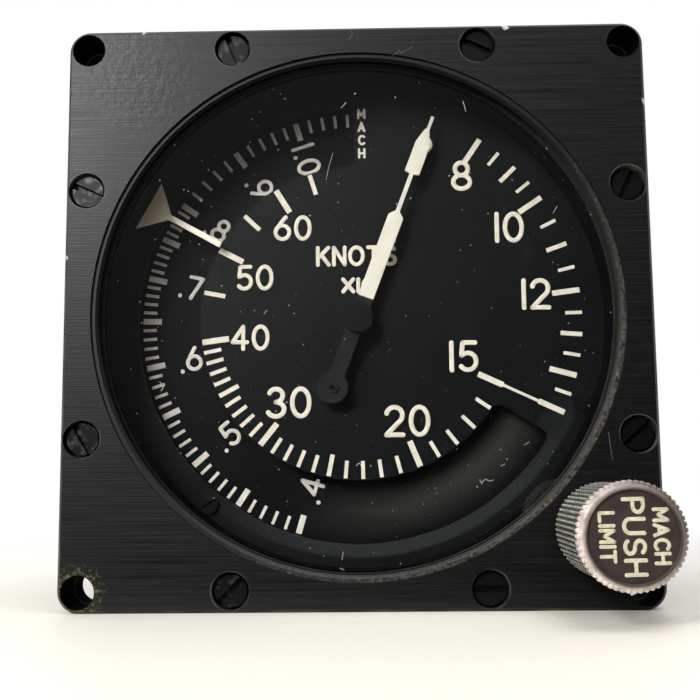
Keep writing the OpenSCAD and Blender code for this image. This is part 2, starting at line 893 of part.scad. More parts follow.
module dial_marks() {
    for (v = [8:0.5:14.5])
        knots_mark(v, outer_marks, v != floor(v) ? 2 : v % 2 == 0 ? 0 : 1, outer_scale_r);
    for (v = [16:39])
        knots_mark(v, inner_marks, v % 10 == 0 ? 0 : v % 5 == 0 ? 1 : 2, inner_scale_r);
    for (v = [40:5:65])
        knots_mark(v, inner_marks, v % 10 == 0 ? 0 : 1, inner_scale_r);
    join_clock = scale_clock(join_reading, knots_scale);
    mark(join_clock, inner_marks[0][0], inner_scale_r, inner_marks[0][1], dial_front);
    mark(join_clock, inner_scale_r - cut, outer_marks[0][0] + cut, join_line_w, dial_front);
    mark(join_clock, outer_marks[0][0], outer_scale_r, outer_marks[0][1], dial_front);
}

// One round-cornered end of the curved window; side is 1 where it starts and -1 where it ends
module slot_end(a, side) {
    low = sqrt(pow(slot_in_r + slot_corner, 2) - pow(slot_corner, 2));
    high = sqrt(pow(slot_out_r - slot_corner, 2) - pow(slot_corner, 2));
    rotate(-a)
        translate([side * slot_corner, 0]) {
            translate([0, low])
                circle(slot_corner);
            translate([0, high])
                circle(slot_corner);
            translate([-slot_corner, low])
                square([2 * slot_corner, high - low]);
        }
}

module curved_window(y0, y1) {
    end_angle = asin(slot_corner / (slot_in_r + slot_corner));
    sweep = slot_to - slot_from - 2 * end_angle;
    along_y(y0, y1) {
        slot_end(slot_from, 1);
        slot_end(slot_to, -1);
    }
    translate([0, y0, 0])
        rotate([0, slot_from + end_angle - 90, 0])
            rotate([-90, 0, 0])
                rotate_extrude(angle = sweep)
                    translate([slot_in_r, 0])
                        square([slot_out_r - slot_in_r, y1 - y0]);
}

module at_dial_screws() {
    for (a = dial_screw_clocks)
        at_clock(dial_screw_out, a)
            rotate([0, a + dial_screw_turn, 0])
                children();
}

module dial_plate() {
    color("#1c1d20")
        difference() {
            disc(dial_r, dial_front, dial_back);
            disc(dial_hole_r, dial_front - cut, dial_back + cut);
            curved_window(dial_front - cut, dial_back + cut);
            at_dial_screws()
                disc(dial_screw_shank_r + fit_gap, dial_front - cut, dial_back + cut);
            dial_marks();
        }
}

module dial_screws() {
    color("#0f0f10")
        at_dial_screws() {
            difference() {
                disc(dial_screw_r, dial_front - dial_screw_h, dial_front);
                translate([-dial_slot_w / 2, dial_front - dial_screw_h - cut, -dial_screw_r - cut])
                    cube([dial_slot_w, cut + dial_screw_h / 2, 2 * dial_screw_r + 2 * cut]);
            }
            disc(dial_screw_shank_r, dial_front, plate_front + dial_screw_bite);
        }
}

module dial_support_ring() {
    color("#3a3b3d")
        difference() {
            ring(support_in_r, dial_r, dial_back, plate_front);
            at_dial_screws()
                disc(dial_screw_shank_r + fit_gap, dial_back - cut, plate_front + cut);
        }
}

module mach_disc() {
    color("#17181b")
        difference() {
            union() {
                disc(disc_r, disc_front, disc_back);
                disc(disc_boss_r, disc_front, disc_boss_back);
            }
            disc(sleeve_r + fit_gap, disc_front - cut, disc_boss_back + cut);
            for (i = [40:80])
                disc_mark(i / 100, i % 5 == 0 ? 0 : 1);
            for (i = [82:2:108])
                disc_mark(i / 100, i % 10 == 0 ? 0 : 1);
        }
}

module disc_mark(value, kind) {
    mark(scale_clock(value, mach_scale), disc_marks[kind][0], disc_scale_r, disc_marks[kind][1], disc_front);
}

module mach_sleeve() {
    color("#b8a05a")
        difference() {
            union() {
                disc(sleeve_flange_r, disc_front - sleeve_flange_t, disc_front);
                disc(sleeve_r, disc_front - sleeve_flange_t, sleeve_back);
            }
            disc(sleeve_in_r, 0, sleeve_back + cut);
        }
}

module mach_gear() {
    hub_front = bearing_end + thrust_gap;
    color("#c2a65a")
        difference() {
            union() {
                disc(gear_hub_r, hub_front, mach_gear_y);
                along_y(mach_gear_y, mach_gear_y + gear_t)
                    gear_outline(mach_gear_teeth, mach_module, 90 + 180 / mach_gear_teeth, 3);
            }
            disc(sleeve_r + fit_gap, hub_front - cut, mach_gear_y + gear_t + cut);
        }
}

// Pointer and its staff

module pointer_outline() {
    w = pointer_w / 2;
    n = neck_w / 2;
    h = head_w / 2;
    t = tip_w / 2;
    right = [[w, 0], [w, taper_from], [n, neck_from], [n, head_from], [h, head_from + head_step],
        [h, head_shoulder], [t, head_to], [t, pointer_l]];
    last = len(right) - 1;
    polygon(concat(right, [for (i = [last:-1:0]) [-right[i][0], right[i][1]]]));
    translate([-w, -weight_out])
        square([pointer_w, weight_out]);
    translate([0, -weight_out])
        circle(weight_r);
    circle(hub_r);
}

module airspeed_pointer() {
    color("#e9e6d6")
        rotate([0, pointer_rest, 0])
            difference() {
                union() {
                    along_y(pointer_front, pointer_back)
                        pointer_outline();
                    at_xz([0, -weight_out])
                        disc(weight_boss_r, pointer_front - weight_boss_h, pointer_back);
                }
                disc(hub_boss_r + fit_gap, pointer_front - cut, pointer_back + cut);
                at_xz([0, -weight_out])
                    disc(weight_hole_r, pointer_front - cut, pointer_back + cut);
            }
}

module pointer_hub() {
    color("#161616")
        difference() {
            union() {
                disc(hub_r, hub_front, pointer_front);
                disc(hub_boss_r, hub_front, hub_back);
            }
            disc(staff_tip_r + fit_gap, hub_front + hub_cap_t / 2, hub_back + cut);
        }
}

module pointer_staff() {
    color("#a9abae")
        turned([[0, hub_front + hub_cap_t / 2 + fit_gap], [staff_tip_r, hub_front + hub_cap_t / 2 + fit_gap],
            [staff_tip_r, hub_back], [staff_r, hub_back], [staff_r, staff_step], [staff_rear_r, staff_step],
            [staff_rear_r, rear_plate_front - thrust_gap], [pivot_r, rear_plate_front - thrust_gap],
            [pivot_r, rear_plate_back], [0, rear_plate_back]]);
}

module staff_pinion() {
    color("#c2a65a")
        difference() {
            along_y(air_gear_y - pinion_over, air_gear_y + gear_t + pinion_over)
                gear_outline(air_pinion_teeth, air_module, 270, 4);
            disc(staff_rear_r + fit_gap, air_gear_y - cut, air_gear_y + gear_t + cut);
        }
}

module spring_collet() {
    collet_front = hairspring_y - collet_lead;
    color("#c2a65a")
        ring(staff_rear_r + fit_gap, collet_r, collet_front, collet_front + collet_h);
}

// A flat spiral spring, from its inner turn to its stud
module hairspring() {
    points_per_turn = 24;
    count = hairspring_turns * points_per_turn;
    pitch = (hairspring_out_r - hairspring_in_r) / count;
    edge = [for (i = [0:count]) [hairspring_in_r + pitch * i, 90 + 360 * i / points_per_turn]];
    color("#7f8791")
        along_y(hairspring_y, hairspring_y + hairspring_h)
            polygon(concat([for (p = edge) clock(p[0], p[1])],
                [for (i = [count:-1:0]) clock(edge[i][0] + hairspring_t, edge[i][1])]));
}

module hairspring_stud() {
    color("#a9abae")
        at_xz([hairspring_out_r + hairspring_t + stud_post_r, 0])
            disc(stud_post_r, hairspring_y - collet_lead, rear_plate_back);
}

// Plates and bearings of the movement

module front_plate() {
    color("#b9a568")
        difference() {
            disc(case_bore_r - plate_edge_gap, plate_front, plate_back);
            disc(bearing_r + fit_gap, plate_front - cut, plate_back + cut);
            for (x = [air_pivot_x, mach_pivot_x])
                at_xz([x, 0])
                    disc(pivot_r + run_gap, plate_front - cut, plate_back + cut);
            for (p = pillar_places)
                at_xz(p)
                    disc(pillar_rivet_r + fit_gap, plate_front - cut, plate_back + cut);
            at_front_screws()
                small_screw_hole(plate_front, plate_t + cut);
            at_dial_screws()
                disc(dial_screw_shank_r + fit_gap, plate_front - cut, plate_back + cut);
        }
}

module rear_plate() {
    color("#b9a568")
        difference() {
            disc(rear_plate_r, rear_plate_front, rear_plate_back);
            disc(staff_bearing_r + fit_gap, rear_plate_front - cut, rear_plate_back + cut);
            for (x = [air_pivot_x, mach_pivot_x])
                at_xz([x, 0])
                    disc(pivot_r + run_gap, rear_plate_front - cut, rear_plate_back + cut);
            at_rear_screws()
                small_screw_hole(0, plate_t + cut);
            at_xz([hairspring_out_r + hairspring_t + stud_post_r, 0])
                disc(stud_post_r + fit_gap, rear_plate_front - cut, rear_plate_back + cut);
            at_xz([-union_x, -union_drop])
                disc(pipe_r + run_gap, rear_plate_front - cut, rear_plate_back + cut);
        }
}

module plate_pillars() {
    screw_tip = rear_plate_back - small_screw_l;
    color("#c9b87c")
        for (p = pillar_places)
            at_xz(p)
                difference() {
                    union() {
                        disc(pillar_r, plate_back, rear_plate_front);
                        disc(pillar_rivet_r, plate_front, plate_back + cut);
                    }
                    disc(small_screw_r + fit_gap, screw_tip - small_screw_room, rear_plate_front + cut);
                }
}

module movement_screws() {
    color("#8f9194") {
        at_front_screws()
            small_screw(plate_front);
        at_rear_screws()
            small_screw(0);
    }
}

module sleeve_bearing() {
    color("#a98b45")
        difference() {
            union() {
                disc(bearing_flange_r, plate_front - bearing_flange_t, plate_front);
                disc(bearing_r, plate_front - bearing_flange_t, bearing_end);
            }
            disc(sleeve_r + run_gap, plate_front - cut, bearing_end + cut);
        }
}

module staff_bearing() {
    color("#a98b45")
        ring(pivot_r + run_gap, staff_bearing_r, rear_plate_front, rear_plate_back);
}

// Sectors, arbors and cranks

module arbor(x) {
    front = plate_back + arbor_play;
    back = rear_plate_front - arbor_play;
    color("#a9abae")
        at_xz([x, 0])
            turned([[0, plate_front], [pivot_r, plate_front], [pivot_r, front], [arbor_r, front],
                [arbor_r, back], [pivot_r, back], [pivot_r, rear_plate_back], [0, rear_plate_back]]);
}

// A crank whose arm points up, with its pin on the rear side
module crank(length) {
    hole = arbor_r + fit_gap;
    difference() {
        along_y(crank_y, crank_y + crank_t) {
            circle(gear_hub_r);
            translate([0, length])
                circle(crank_end_r);
            translate([-crank_end_r, 0])
                square([2 * crank_end_r, length]);
        }
        disc(hole, crank_y - cut, crank_y + crank_t + cut);
    }
    at_xz([0, length])
        disc(crank_pin_r, crank_y, crank_y + crank_t + crank_pin_l);
}

module airspeed_sector() {
    color("#c2a65a")
        at_xz([air_pivot_x, 0])
            sector(air_teeth, air_module, 90 + air_rest, air_sector_side, air_gear_y);
}

module airspeed_arbor() {
    arbor(air_pivot_x);
}

module airspeed_crank() {
    color("#b9a568")
        at_xz([air_pivot_x, 0])
            rotate([0, 90 + air_rest, 0])
                crank(air_crank);
}

module mach_sector() {
    color("#c2a65a")
        at_xz([mach_pivot_x, 0])
            sector(mach_teeth, mach_module, 270 + mach_rest, mach_sector_side, mach_gear_y);
}

module mach_arbor() {
    arbor(mach_pivot_x);
}

module mach_crank() {
    color("#b9a568")
        at_xz([mach_pivot_x, 0])
            rotate([0, 270 + mach_rest, 0])
                crank(mach_crank_l);
}

// Capsules, stems, links and the bridge

// A sealed capsule of two waved diaphragms between two bosses, standing on its seat
module capsule() {
    body_h = capsule_h - 2 * capsule_boss_h;
    steps = 4 * capsule_waves;
    span = capsule_r - capsule_boss_r - capsule_rim_w;
    function wave(i) = capsule_wave_h * (i % 2 == 0 ? 0 : i % 4 == 1 ? 1 : -1);
    function half_h(i) = capsule_rim_t / 2 + (body_h / 2 - capsule_wave_h) * (1 - i / steps);
    mid = capsule_boss_h + body_h / 2;
    upper = [for (i = [0:steps]) [capsule_boss_r + span * i / steps, mid + half_h(i) + wave(i)]];
    rim = [[capsule_r, mid + capsule_rim_t / 2], [capsule_r, mid - capsule_rim_t / 2]];
    lower = [for (i = [steps:-1:0]) [capsule_boss_r + span * i / steps, mid - half_h(i) - wave(i)]];
    translate([0, capsule_y, -capsule_seat])
        rotate_extrude()
            polygon(concat([[0, 0], [0, capsule_h], [capsule_boss_r, capsule_h]], upper, rim, lower,
                [[capsule_boss_r, 0]]));
}

module airspeed_capsule() {
    color("#b87a4a")
        difference() {
            translate([-union_x, 0, 0])
                capsule();
            at_xz([-union_x, -union_drop])
                disc(pipe_r + fit_gap, capsule_y, capsule_y + capsule_r);
        }
}

module aneroid_capsule() {
    color("#b87a4a")
        translate([union_x, 0, 0])
            capsule();
}

module pitot_pipe() {
    pipe_front = capsule_y + pipe_setback;
    pipe_back = cover_back + union_hex_t / 2;
    color("#b98a54")
        at_xz([-union_x, -union_drop])
            ring(pipe_bore_r, pipe_r, pipe_front, pipe_back);
}

module capsule_bridge() {
    tab_top = bridge_bottom + bridge_t + bridge_tab_h;
    front = plate_back;
    back = rear_plate_front;
    color("#9a9c9f")
        difference() {
            translate([bridge_half_w, 0, 0])
                rotate([90, 0, -90])
                    linear_extrude(2 * bridge_half_w)
                        polygon([[-front, bridge_bottom], [-front, tab_top], [-front - bridge_t, tab_top],
                            [-front - bridge_t, -capsule_seat], [-back + bridge_t, -capsule_seat],
                            [-back + bridge_t, tab_top], [-back, tab_top], [-back, bridge_bottom]]);
            for (p = bridge_screw_places)
                at_xz(p)
                    disc(small_screw_r + fit_gap, front - cut, back + cut);
            at_xz([-union_x, -union_drop])
                disc(pipe_r + run_gap, back - bridge_t - cut, back + cut);
        }
}

// The stem on top of a capsule, with a slot for its link
module stem(x) {
    color("#a9abae")
        translate([x, capsule_y, stem_base])
            difference() {
                cylinder(r = stem_r, h = stem_l);
                translate([-stem_r - cut, -link_t / 2 - fit_gap, stem_l - stem_slot_d])
                    cube([2 * stem_r + 2 * cut, link_t + 2 * fit_gap, stem_slot_d + cut]);
            }
}

// A link from its stem up to the crank pin at height pin_z, with a slotted eye
module link(x, pin_z) {
    foot = stem_base + stem_l - stem_slot_d;
    eye = crank_pin_r + link_eye_play;
    color("#8f9194")
        along_y(link_y, link_y + link_t)
            translate([x, 0])
                difference() {
                    union() {
                        translate([-link_w / 2, foot])
                            square([link_w, pin_z - foot]);
                        translate([-link_slot, pin_z])
                            circle(link_eye_r);
                        translate([link_slot, pin_z])
                            circle(link_eye_r);
                        translate([-link_slot, pin_z - link_eye_r])
                            square([2 * link_slot, 2 * link_eye_r]);
                    }
                    translate([-link_slot, pin_z])
                        circle(eye);
                    translate([link_slot, pin_z])
                        circle(eye);
                    translate([-link_slot, pin_z - eye])
                        square([2 * link_slot, 2 * eye]);
                }
}

module airspeed_stem() {
    stem(-union_x);
}

module airspeed_link() {
    link(-union_x, -air_crank * sin(air_rest));
}

module aneroid_stem() {
    stem(union_x);
}

module aneroid_link() {
    link(union_x, mach_crank_l * sin(mach_rest));
}

// Limit ring, its index and its drive

module limit_ring() {
    color("#18181a") {
        difference() {
            along_y(ring_front, ring_back)
                gear_outline(limit_teeth, limit_module, knob_clock, 1);
            disc(ring_bore_r, ring_front - cut, ring_back + cut, $fn = 4 * $fn);
        }
        rotate([0, index_rest, 0])
            translate([-lug_half_w, ring_back, lug_in_r])
                cube([2 * lug_half_w, lug_t, ring_bore_r + ring_rim - lug_in_r]);
        rotate([0, index_rest, 0])
            translate([-lug_half_w, ring_back - ring_t / 2, ring_bore_r + ring_rim / 4])
                cube([2 * lug_half_w, ring_t / 2 + lug_t, 0.75 * ring_rim]);
    }
}

module limit_index() {
    w = index_line_w / 2;
    color("#a69c83")
        rotate([0, index_rest, 0])
            along_y(ring_back - index_t, ring_back)
                polygon([[-w, index_in_r], [-w, index_apex_r], [-index_half_w, index_base_r],
                    [index_half_w, index_base_r], [w, index_apex_r], [w, index_in_r]]);
}

module limit_pinion() {
    tooth_clock = knob_clock + 180 + 180 / limit_pinion_teeth;
    color("#c2a65a")
        at_xz(knob_at)
            difference() {
                union() {
                    along_y(ring_front, ring_back)
                        gear_outline(limit_pinion_teeth, limit_module, tooth_clock, 3);
                    disc(facing_r, facing_back, ring_front + cut / 2);
                }
                disc(stud_r + run_gap, facing_back - cut, ring_back + cut);
            }
}

module clutch_facing() {
    color("#6a4a33")
        at_xz(knob_at)
            ring(stud_r + run_gap + facing_bore_gap, facing_r, facing_front, facing_back);
}

module pinion_stud() {
    collar_front = pocket_floor - stud_collar_t;
    stud_front = facing_front + stud_recess;
    color("#8f9194")
        at_xz(knob_at)
            turned([[0, stud_front], [stud_r, stud_front], [stud_r, collar_front],
                [stud_collar_r, collar_front], [stud_collar_r, pocket_floor], [stud_shank_r, pocket_floor],
                [stud_shank_r, flange_back], [0, flange_back]]);
}

// Knob, its shaft and spring

// A round outline with pointed flutes, from the valley radius to the ridge radius
module fluted_outline(r) {
    step = 180 / knob_flutes;
    polygon([for (i = [0:2 * knob_flutes - 1]) clock(i % 2 == 0 ? r : r - knob_flute_d, i * step)]);
}

module knob() {
    rim_back = knob_front + knob_rim_t;
    color("#2b2725")
        at_xz(knob_at)
            difference() {
                union() {
                    along_y(knob_front, rim_back)
                        fluted_outline(knob_r);
                    along_y(rim_back, knob_back)
                        fluted_outline(knob_r - knob_rim_step);
                }
                disc(knob_dish_r, knob_front - cut, knob_front + knob_dish_d);
                disc(knob_shaft_r + fit_gap, shaft_front, knob_back + cut);
                disc(spring_hole_r, knob_back - spring_hole_d, knob_back + cut);
                translate([0, set_screw_y, 0])
                    rotate([0, 90, 0])
                        cylinder(r = set_screw_r + fit_gap, h = knob_r + cut);
            }
}

module knob_legend_disc() {
    floor_y = knob_front + knob_dish_d;
    color("#3a2d2a")
        at_xz(knob_at)
            disc(knob_dish_r - fit_gap, floor_y - legend_t, floor_y);
}

module knob_set_screw() {
    length = knob_r - knob_shaft_r - set_screw_recess;
    color("#6d6e70")
        at_xz(knob_at)
            translate([knob_shaft_r + fit_gap, set_screw_y, 0])
                rotate([0, 90, 0])
                    cylinder(r = set_screw_r, h = length);
}

module knob_shaft() {
    color("#8f9194")
        at_xz(knob_at)
            turned([[0, shaft_front], [knob_shaft_r, shaft_front], [knob_shaft_r, clutch_front],
                [clutch_pin_r, clutch_front], [clutch_pin_r, clutch_back], [0, clutch_back]]);
}

module clutch_disc() {
    color("#6d6e70")
        at_xz(knob_at)
            ring(clutch_pin_r + fit_gap, clutch_r, clutch_front, clutch_back);
}

module knob_bush() {
    seal_half = seal_wire_r + seal_room;
    groove_r = knob_shaft_r + 2 * seal_half;
    color("#8f9194")
        at_xz(knob_at)
            difference() {
                union() {
                    disc(bush_flange_r, -bush_flange_t, 0);
                    disc(bush_r, -bush_flange_t, clutch_pocket_y);
                }
                disc(knob_shaft_r + run_gap, -bush_flange_t - cut, clutch_pocket_y + cut);
                disc(groove_r, seal_y - seal_half, seal_y + seal_half);
            }
}

module shaft_seal() {
    color("#141414")
        at_xz(knob_at)
            translate([0, seal_y, 0])
                rotate([-90, 0, 0])
                    rotate_extrude()
                        translate([knob_shaft_r + seal_wire_r + seal_room, 0])
                            circle(seal_wire_r, $fn = 32);
}

module spring_washer() {
    washer_front = knob_back - spring_hole_d;
    color("#8f9194")
        at_xz(knob_at)
            ring(knob_shaft_r + run_gap, spring_hole_r - washer_gap, washer_front, washer_front + washer_t);
}

// A coil spring between the washer and the bush, as rings of points swept along a helix
module knob_spring() {
    sides = 8;
    per_turn = 16;
    count = spring_turns * per_turn;
    y_from = knob_back - spring_hole_d + washer_t + spring_wire_r;
    y_to = -bush_flange_t - spring_wire_r;
    function wire_point(i, j) =
        let (a = 360 * i / per_turn, b = 360 * j / sides, r = spring_mean_r + spring_wire_r * cos(b))
        [r * sin(a), y_from + (y_to - y_from) * i / count + spring_wire_r * sin(b), r * cos(a)];
    points = [for (i = [0:count], j = [0:sides - 1]) wire_point(i, j)];
    skin = [for (i = [0:count - 1], j = [0:sides - 1])
        let (k = (j + 1) % sides)
        [i * sides + j, (i + 1) * sides + j, (i + 1) * sides + k, i * sides + k]];
    first = [for (j = [0:sides - 1]) j];
    last = [for (j = [sides - 1:-1:0]) count * sides + j];
    color("#9a9c9f")
        at_xz(knob_at)
            polyhedron(points, concat(skin, [first], [last]));
}

bezel();
bezel_screws();
window_glass();
glass_gasket();
glass_retaining_ring();
flange_gasket();
case_body();
rear_cover();
rear_cover_seal();
rear_cover_screws();
pitot_union();
static_union();
dial_plate();
dial_screws();
dial_support_ring();
front_plate();
rear_plate();
plate_pillars();
movement_screws();
capsule_bridge();
airspeed_capsule();
aneroid_capsule();
pitot_pipe();
knob_bush();
shaft_seal();
pinion_stud();
sleeve_bearing();
staff_bearing();
hairspring();
hairspring_stud();
spring_washer();
knob_spring();
knob();
knob_legend_disc();
knob_shaft();
knob_set_screw();
clutch_disc();
limit_ring();
limit_index();
limit_pinion();
clutch_facing();
airspeed_pointer();
pointer_hub();
pointer_staff();
staff_pinion();
spring_collet();
airspeed_sector();
airspeed_arbor();
airspeed_crank();
airspeed_stem();
airspeed_link();
mach_disc();
mach_sleeve();
mach_gear();
mach_sector();
mach_arbor();
mach_crank();
aneroid_stem();
aneroid_link();
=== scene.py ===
# %% [markdown]
# # A panel airspeed indicator
# The solids of this instrument come from its CAD model: a square bezel, a window, a dial with a pointer, a
# disc that turns behind the dial, a knob, and the case behind them. This lesson gives every part its
# finish, prints the dial, and adds what is too fine for the solids: the knurl of the knob, dust and
# scratches. All places are in metres, in the CAD model's own frame: X to the right, Y into the panel, Z up.

# %% Load the solids
import json
import math

import bpy
from mathutils import Matrix, Vector


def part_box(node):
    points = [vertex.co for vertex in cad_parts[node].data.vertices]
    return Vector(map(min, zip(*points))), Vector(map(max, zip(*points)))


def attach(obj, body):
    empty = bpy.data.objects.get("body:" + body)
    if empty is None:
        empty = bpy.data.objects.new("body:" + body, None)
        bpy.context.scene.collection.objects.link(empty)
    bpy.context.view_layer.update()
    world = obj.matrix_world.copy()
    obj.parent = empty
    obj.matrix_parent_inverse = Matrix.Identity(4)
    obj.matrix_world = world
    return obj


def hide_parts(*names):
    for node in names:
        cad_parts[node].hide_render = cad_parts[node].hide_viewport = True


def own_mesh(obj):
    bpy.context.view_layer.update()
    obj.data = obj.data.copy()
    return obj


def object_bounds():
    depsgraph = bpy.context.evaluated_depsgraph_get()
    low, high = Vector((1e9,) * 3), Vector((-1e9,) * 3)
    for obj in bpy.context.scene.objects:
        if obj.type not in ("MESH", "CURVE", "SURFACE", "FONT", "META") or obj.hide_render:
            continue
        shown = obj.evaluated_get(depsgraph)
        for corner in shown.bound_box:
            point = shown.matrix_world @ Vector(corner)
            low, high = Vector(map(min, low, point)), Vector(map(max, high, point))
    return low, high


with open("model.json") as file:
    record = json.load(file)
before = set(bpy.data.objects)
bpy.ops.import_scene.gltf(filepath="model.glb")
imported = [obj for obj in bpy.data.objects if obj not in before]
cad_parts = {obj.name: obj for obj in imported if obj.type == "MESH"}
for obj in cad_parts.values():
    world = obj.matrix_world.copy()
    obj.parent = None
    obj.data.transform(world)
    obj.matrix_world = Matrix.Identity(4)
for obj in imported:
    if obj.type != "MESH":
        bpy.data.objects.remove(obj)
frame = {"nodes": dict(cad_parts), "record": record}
cad_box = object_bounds()
MM = 0.001
print("solids:", len(frame["nodes"]), "box in mm:", [round((b - a) / MM, 1) for a, b in zip(*cad_box)])

# %% [markdown]
# ## Colours, nodes and finishes
# Colours are written as people read them, in sRGB hex, and Blender works in linear light, so one function
# turns one into the other. Another adds a node, sets it and links it. A socket knows its own tree, so the
# tree is named only where no socket feeds the node. A finish starts as a Principled shader with a name.

# %% Colour, node and finish helpers


def colour(code):
    """An sRGB hex colour as linear RGBA."""
    parts = [int(code[i:i + 2], 16) / 255 for i in (1, 3, 5)]
    return [p / 12.92 if p <= 0.04045 else ((p + 0.055) / 1.055) ** 2.4 for p in parts] + [1]


def add(kind, sockets=None, out=0, tree=None, **settings):
    """Adds a node, sets its properties, fills its sockets with values or links, and returns an output."""
    sockets = sockets or {}
    links = {name: value for name, value in sockets.items() if isinstance(value, bpy.types.NodeSocket)}
    tree = tree or next(iter(links.values())).id_data
    node = tree.nodes.new(kind)
    for name, value in settings.items():
        setattr(node, name, value)
    for name, value in sockets.items():
        if name in links:
            tree.links.new(value, node.inputs[name])
        else:
            node.inputs[name].default_value = value
    return node.outputs[out] if node.outputs else None


def feed(node, name, value):
    """Links a value to a socket of a node."""
    value.id_data.links.new(value, node.inputs[name])


def finish(name, base, roughness, metallic=0.0):
    """A new material with a plain Principled shader, that shader, and the object coordinates."""
    mat = bpy.data.materials.new(name)
    mat.use_nodes = True
    shader = mat.node_tree.nodes["Principled BSDF"]
    shader.inputs["Base Color"].default_value = colour(base)
    shader.inputs["Roughness"].default_value = roughness
    shader.inputs["Metallic"].default_value = metallic
    print("finish:", name)
    return mat, shader, add("ShaderNodeTexCoord", out="Object", tree=mat.node_tree)


# %% [markdown]
# ## Steps of a recipe
# A recipe takes the same few steps again and again. Each is a short function that hands back a socket, so a
# recipe reads from top to bottom.

# %% Step helpers


def noise(place, size, detail):
    """Noise from 0 to 1 with patches of about the given size."""
    return add("ShaderNodeTexNoise", {"Vector": place, "Scale": 1 / size, "Detail": detail}, "Fac")


def span(value, low=0.0, high=1.0, start=0.0, end=1.0):
    """The value's way from low to high, turned into a way from start to end. It stops at both ends."""
    return add("ShaderNodeMapRange", {0: value, 1: low, 2: high, 3: start, 4: end})


def calc(operation, *values):
    """Arithmetic on one or two numbers."""
    return add("ShaderNodeMath", dict(enumerate(values)), operation=operation)


def mixed(amount, low, high):
    """A colour between two, each given as a hex code or as a socket."""
    pair = [colour(end) if isinstance(end, str) else end for end in (low, high)]
    return add("ShaderNodeMix", {0: amount, 6: pair[0], 7: pair[1]}, 2, data_type="RGBA")


def bump(height, strength, depth, **under):
    """A normal that makes the surface look raised by a height. Another normal can lie under it."""
    return add("ShaderNodeBump", {"Height": height, "Strength": strength, "Distance": depth, **under})


# %% [markdown]
# ## Places on the part
# Many recipes ask where a point lies: how far along a direction, or how far from another point. On the
# front, its depth is dropped first, and the length of what is left is the distance from the dial's axis. X
# and Z can also be folded to their sizes, and then one recipe serves all four corners.

# %% Place helpers
RIGHT, INWARD, UP = (1, 0, 0), (0, 1, 0), (0, 0, 1)


def along(place, way):
    """How far a place lies along a direction."""
    return add("ShaderNodeVectorMath", {0: place, 1: way}, "Value", operation="DOT_PRODUCT")


def distance(place, other=(0, 0, 0)):
    """How far a place lies from another one, or from the origin."""
    return add("ShaderNodeVectorMath", {0: place, 1: other}, "Value", operation="DISTANCE")


def front_only(place):
    """A place without its depth."""
    return add("ShaderNodeVectorMath", {0: place, 1: (1, 0, 1)}, operation="MULTIPLY")


def folded(place):
    """A place without its depth, with X and Z as sizes."""
    return front_only(add("ShaderNodeVectorMath", {0: place}, operation="ABSOLUTE"))


def off_by(value, middle):
    """How far a value lies from a middle one, on either side."""
    return calc("ABSOLUTE", calc("SUBTRACT", value, middle))


# %% [markdown]
# ## The camera
# The photograph was taken from close by, a little below the middle of the dial, looking slightly up. The
# lens and the place were found from the bezel's corners, its holes and the knob, so the render lines up
# with it.

# %% Camera
VIEW_FROM = Vector((1.7026, -139.7092, -22.5381)) * MM
VIEW_TURN = Vector((-0.1201, -0.0107, -0.0204))
LENS_PX = 1013.49
PHOTO_PX = 700
SENSOR = 36.0

right, ahead, up = Matrix.Rotation(VIEW_TURN.length, 3, VIEW_TURN)
camera_data = bpy.data.cameras.new("camera")
camera_data.sensor_width = SENSOR
camera_data.lens = LENS_PX / PHOTO_PX * SENSOR
camera_data.clip_start = MM
camera = bpy.data.objects.new("camera", camera_data)
bpy.context.scene.collection.objects.link(camera)
axes = Matrix((right, up, -ahead)).transposed()
camera.matrix_world = Matrix.Translation(VIEW_FROM) @ axes.to_4x4()
bpy.context.scene.camera = camera
print("lens in mm:", round(camera_data.lens, 2))

# %% [markdown]
# ## The room
# The instrument stands on a white table against a white wall. The wall is the world's colour: white behind
# the part, dark on the side of the camera, as in a room that is lit from one side, and with a weak glow at
# the upper left. The camera itself sees the wall as white everywhere.

# %% World
scene = bpy.context.scene
scene.view_settings.view_transform = "Standard"
WHITE = "#ffffff"
WALL_FRONT, WALL_BACK, WALL_TURN = 0.01, 1.0, 0.35
GLOW, GLOW_WAY, GLOW_FULL = 0.11, (-0.5, 0, 1), 0.4

world = bpy.data.worlds.new("white_room")
scene.world = world
world.use_nodes = True
tree = world.node_tree
direction = add("ShaderNodeTexCoord", out="Generated", tree=tree)
depth = along(direction, INWARD)
room = span(depth, -WALL_TURN, WALL_TURN, WALL_FRONT, WALL_BACK)
upper_left = along(direction, GLOW_WAY)
glow = span(upper_left, 0.0, GLOW_FULL, end=GLOW)
room = calc("MAXIMUM", room, glow)
seen = add("ShaderNodeLightPath", out="Is Camera Ray", tree=tree)
level = calc("MAXIMUM", room, seen)
wall = tree.nodes["Background"]
wall.inputs["Color"].default_value = colour(WHITE)
feed(wall, "Strength", level)
print("wall, from front to back:", WALL_FRONT, WALL_BACK)

# %% [markdown]
# ## The table
# The table is cream and turns into the wall's white further off, so no horizon shows. In front of the part
# it stays out of the mirror of the window, as a table does that ends there.

# %% Table
TABLE_HALF = 3.0
CREAM_TO, WHITE_FROM = 0.06, 0.2
MIRROR_FROM, MIRROR_TO = -0.012, 0.004
table_z = cad_box[0][2]
mesh = bpy.data.meshes.new("table_top")
corners = [(-1, -1), (1, -1), (1, 1), (-1, 1)]
mesh.from_pydata([(x * TABLE_HALF, y * TABLE_HALF, table_z) for x, y in corners], [], [(0, 1, 2, 3)])
floor = bpy.data.objects.new("table_top", mesh)
scene.collection.objects.link(floor)

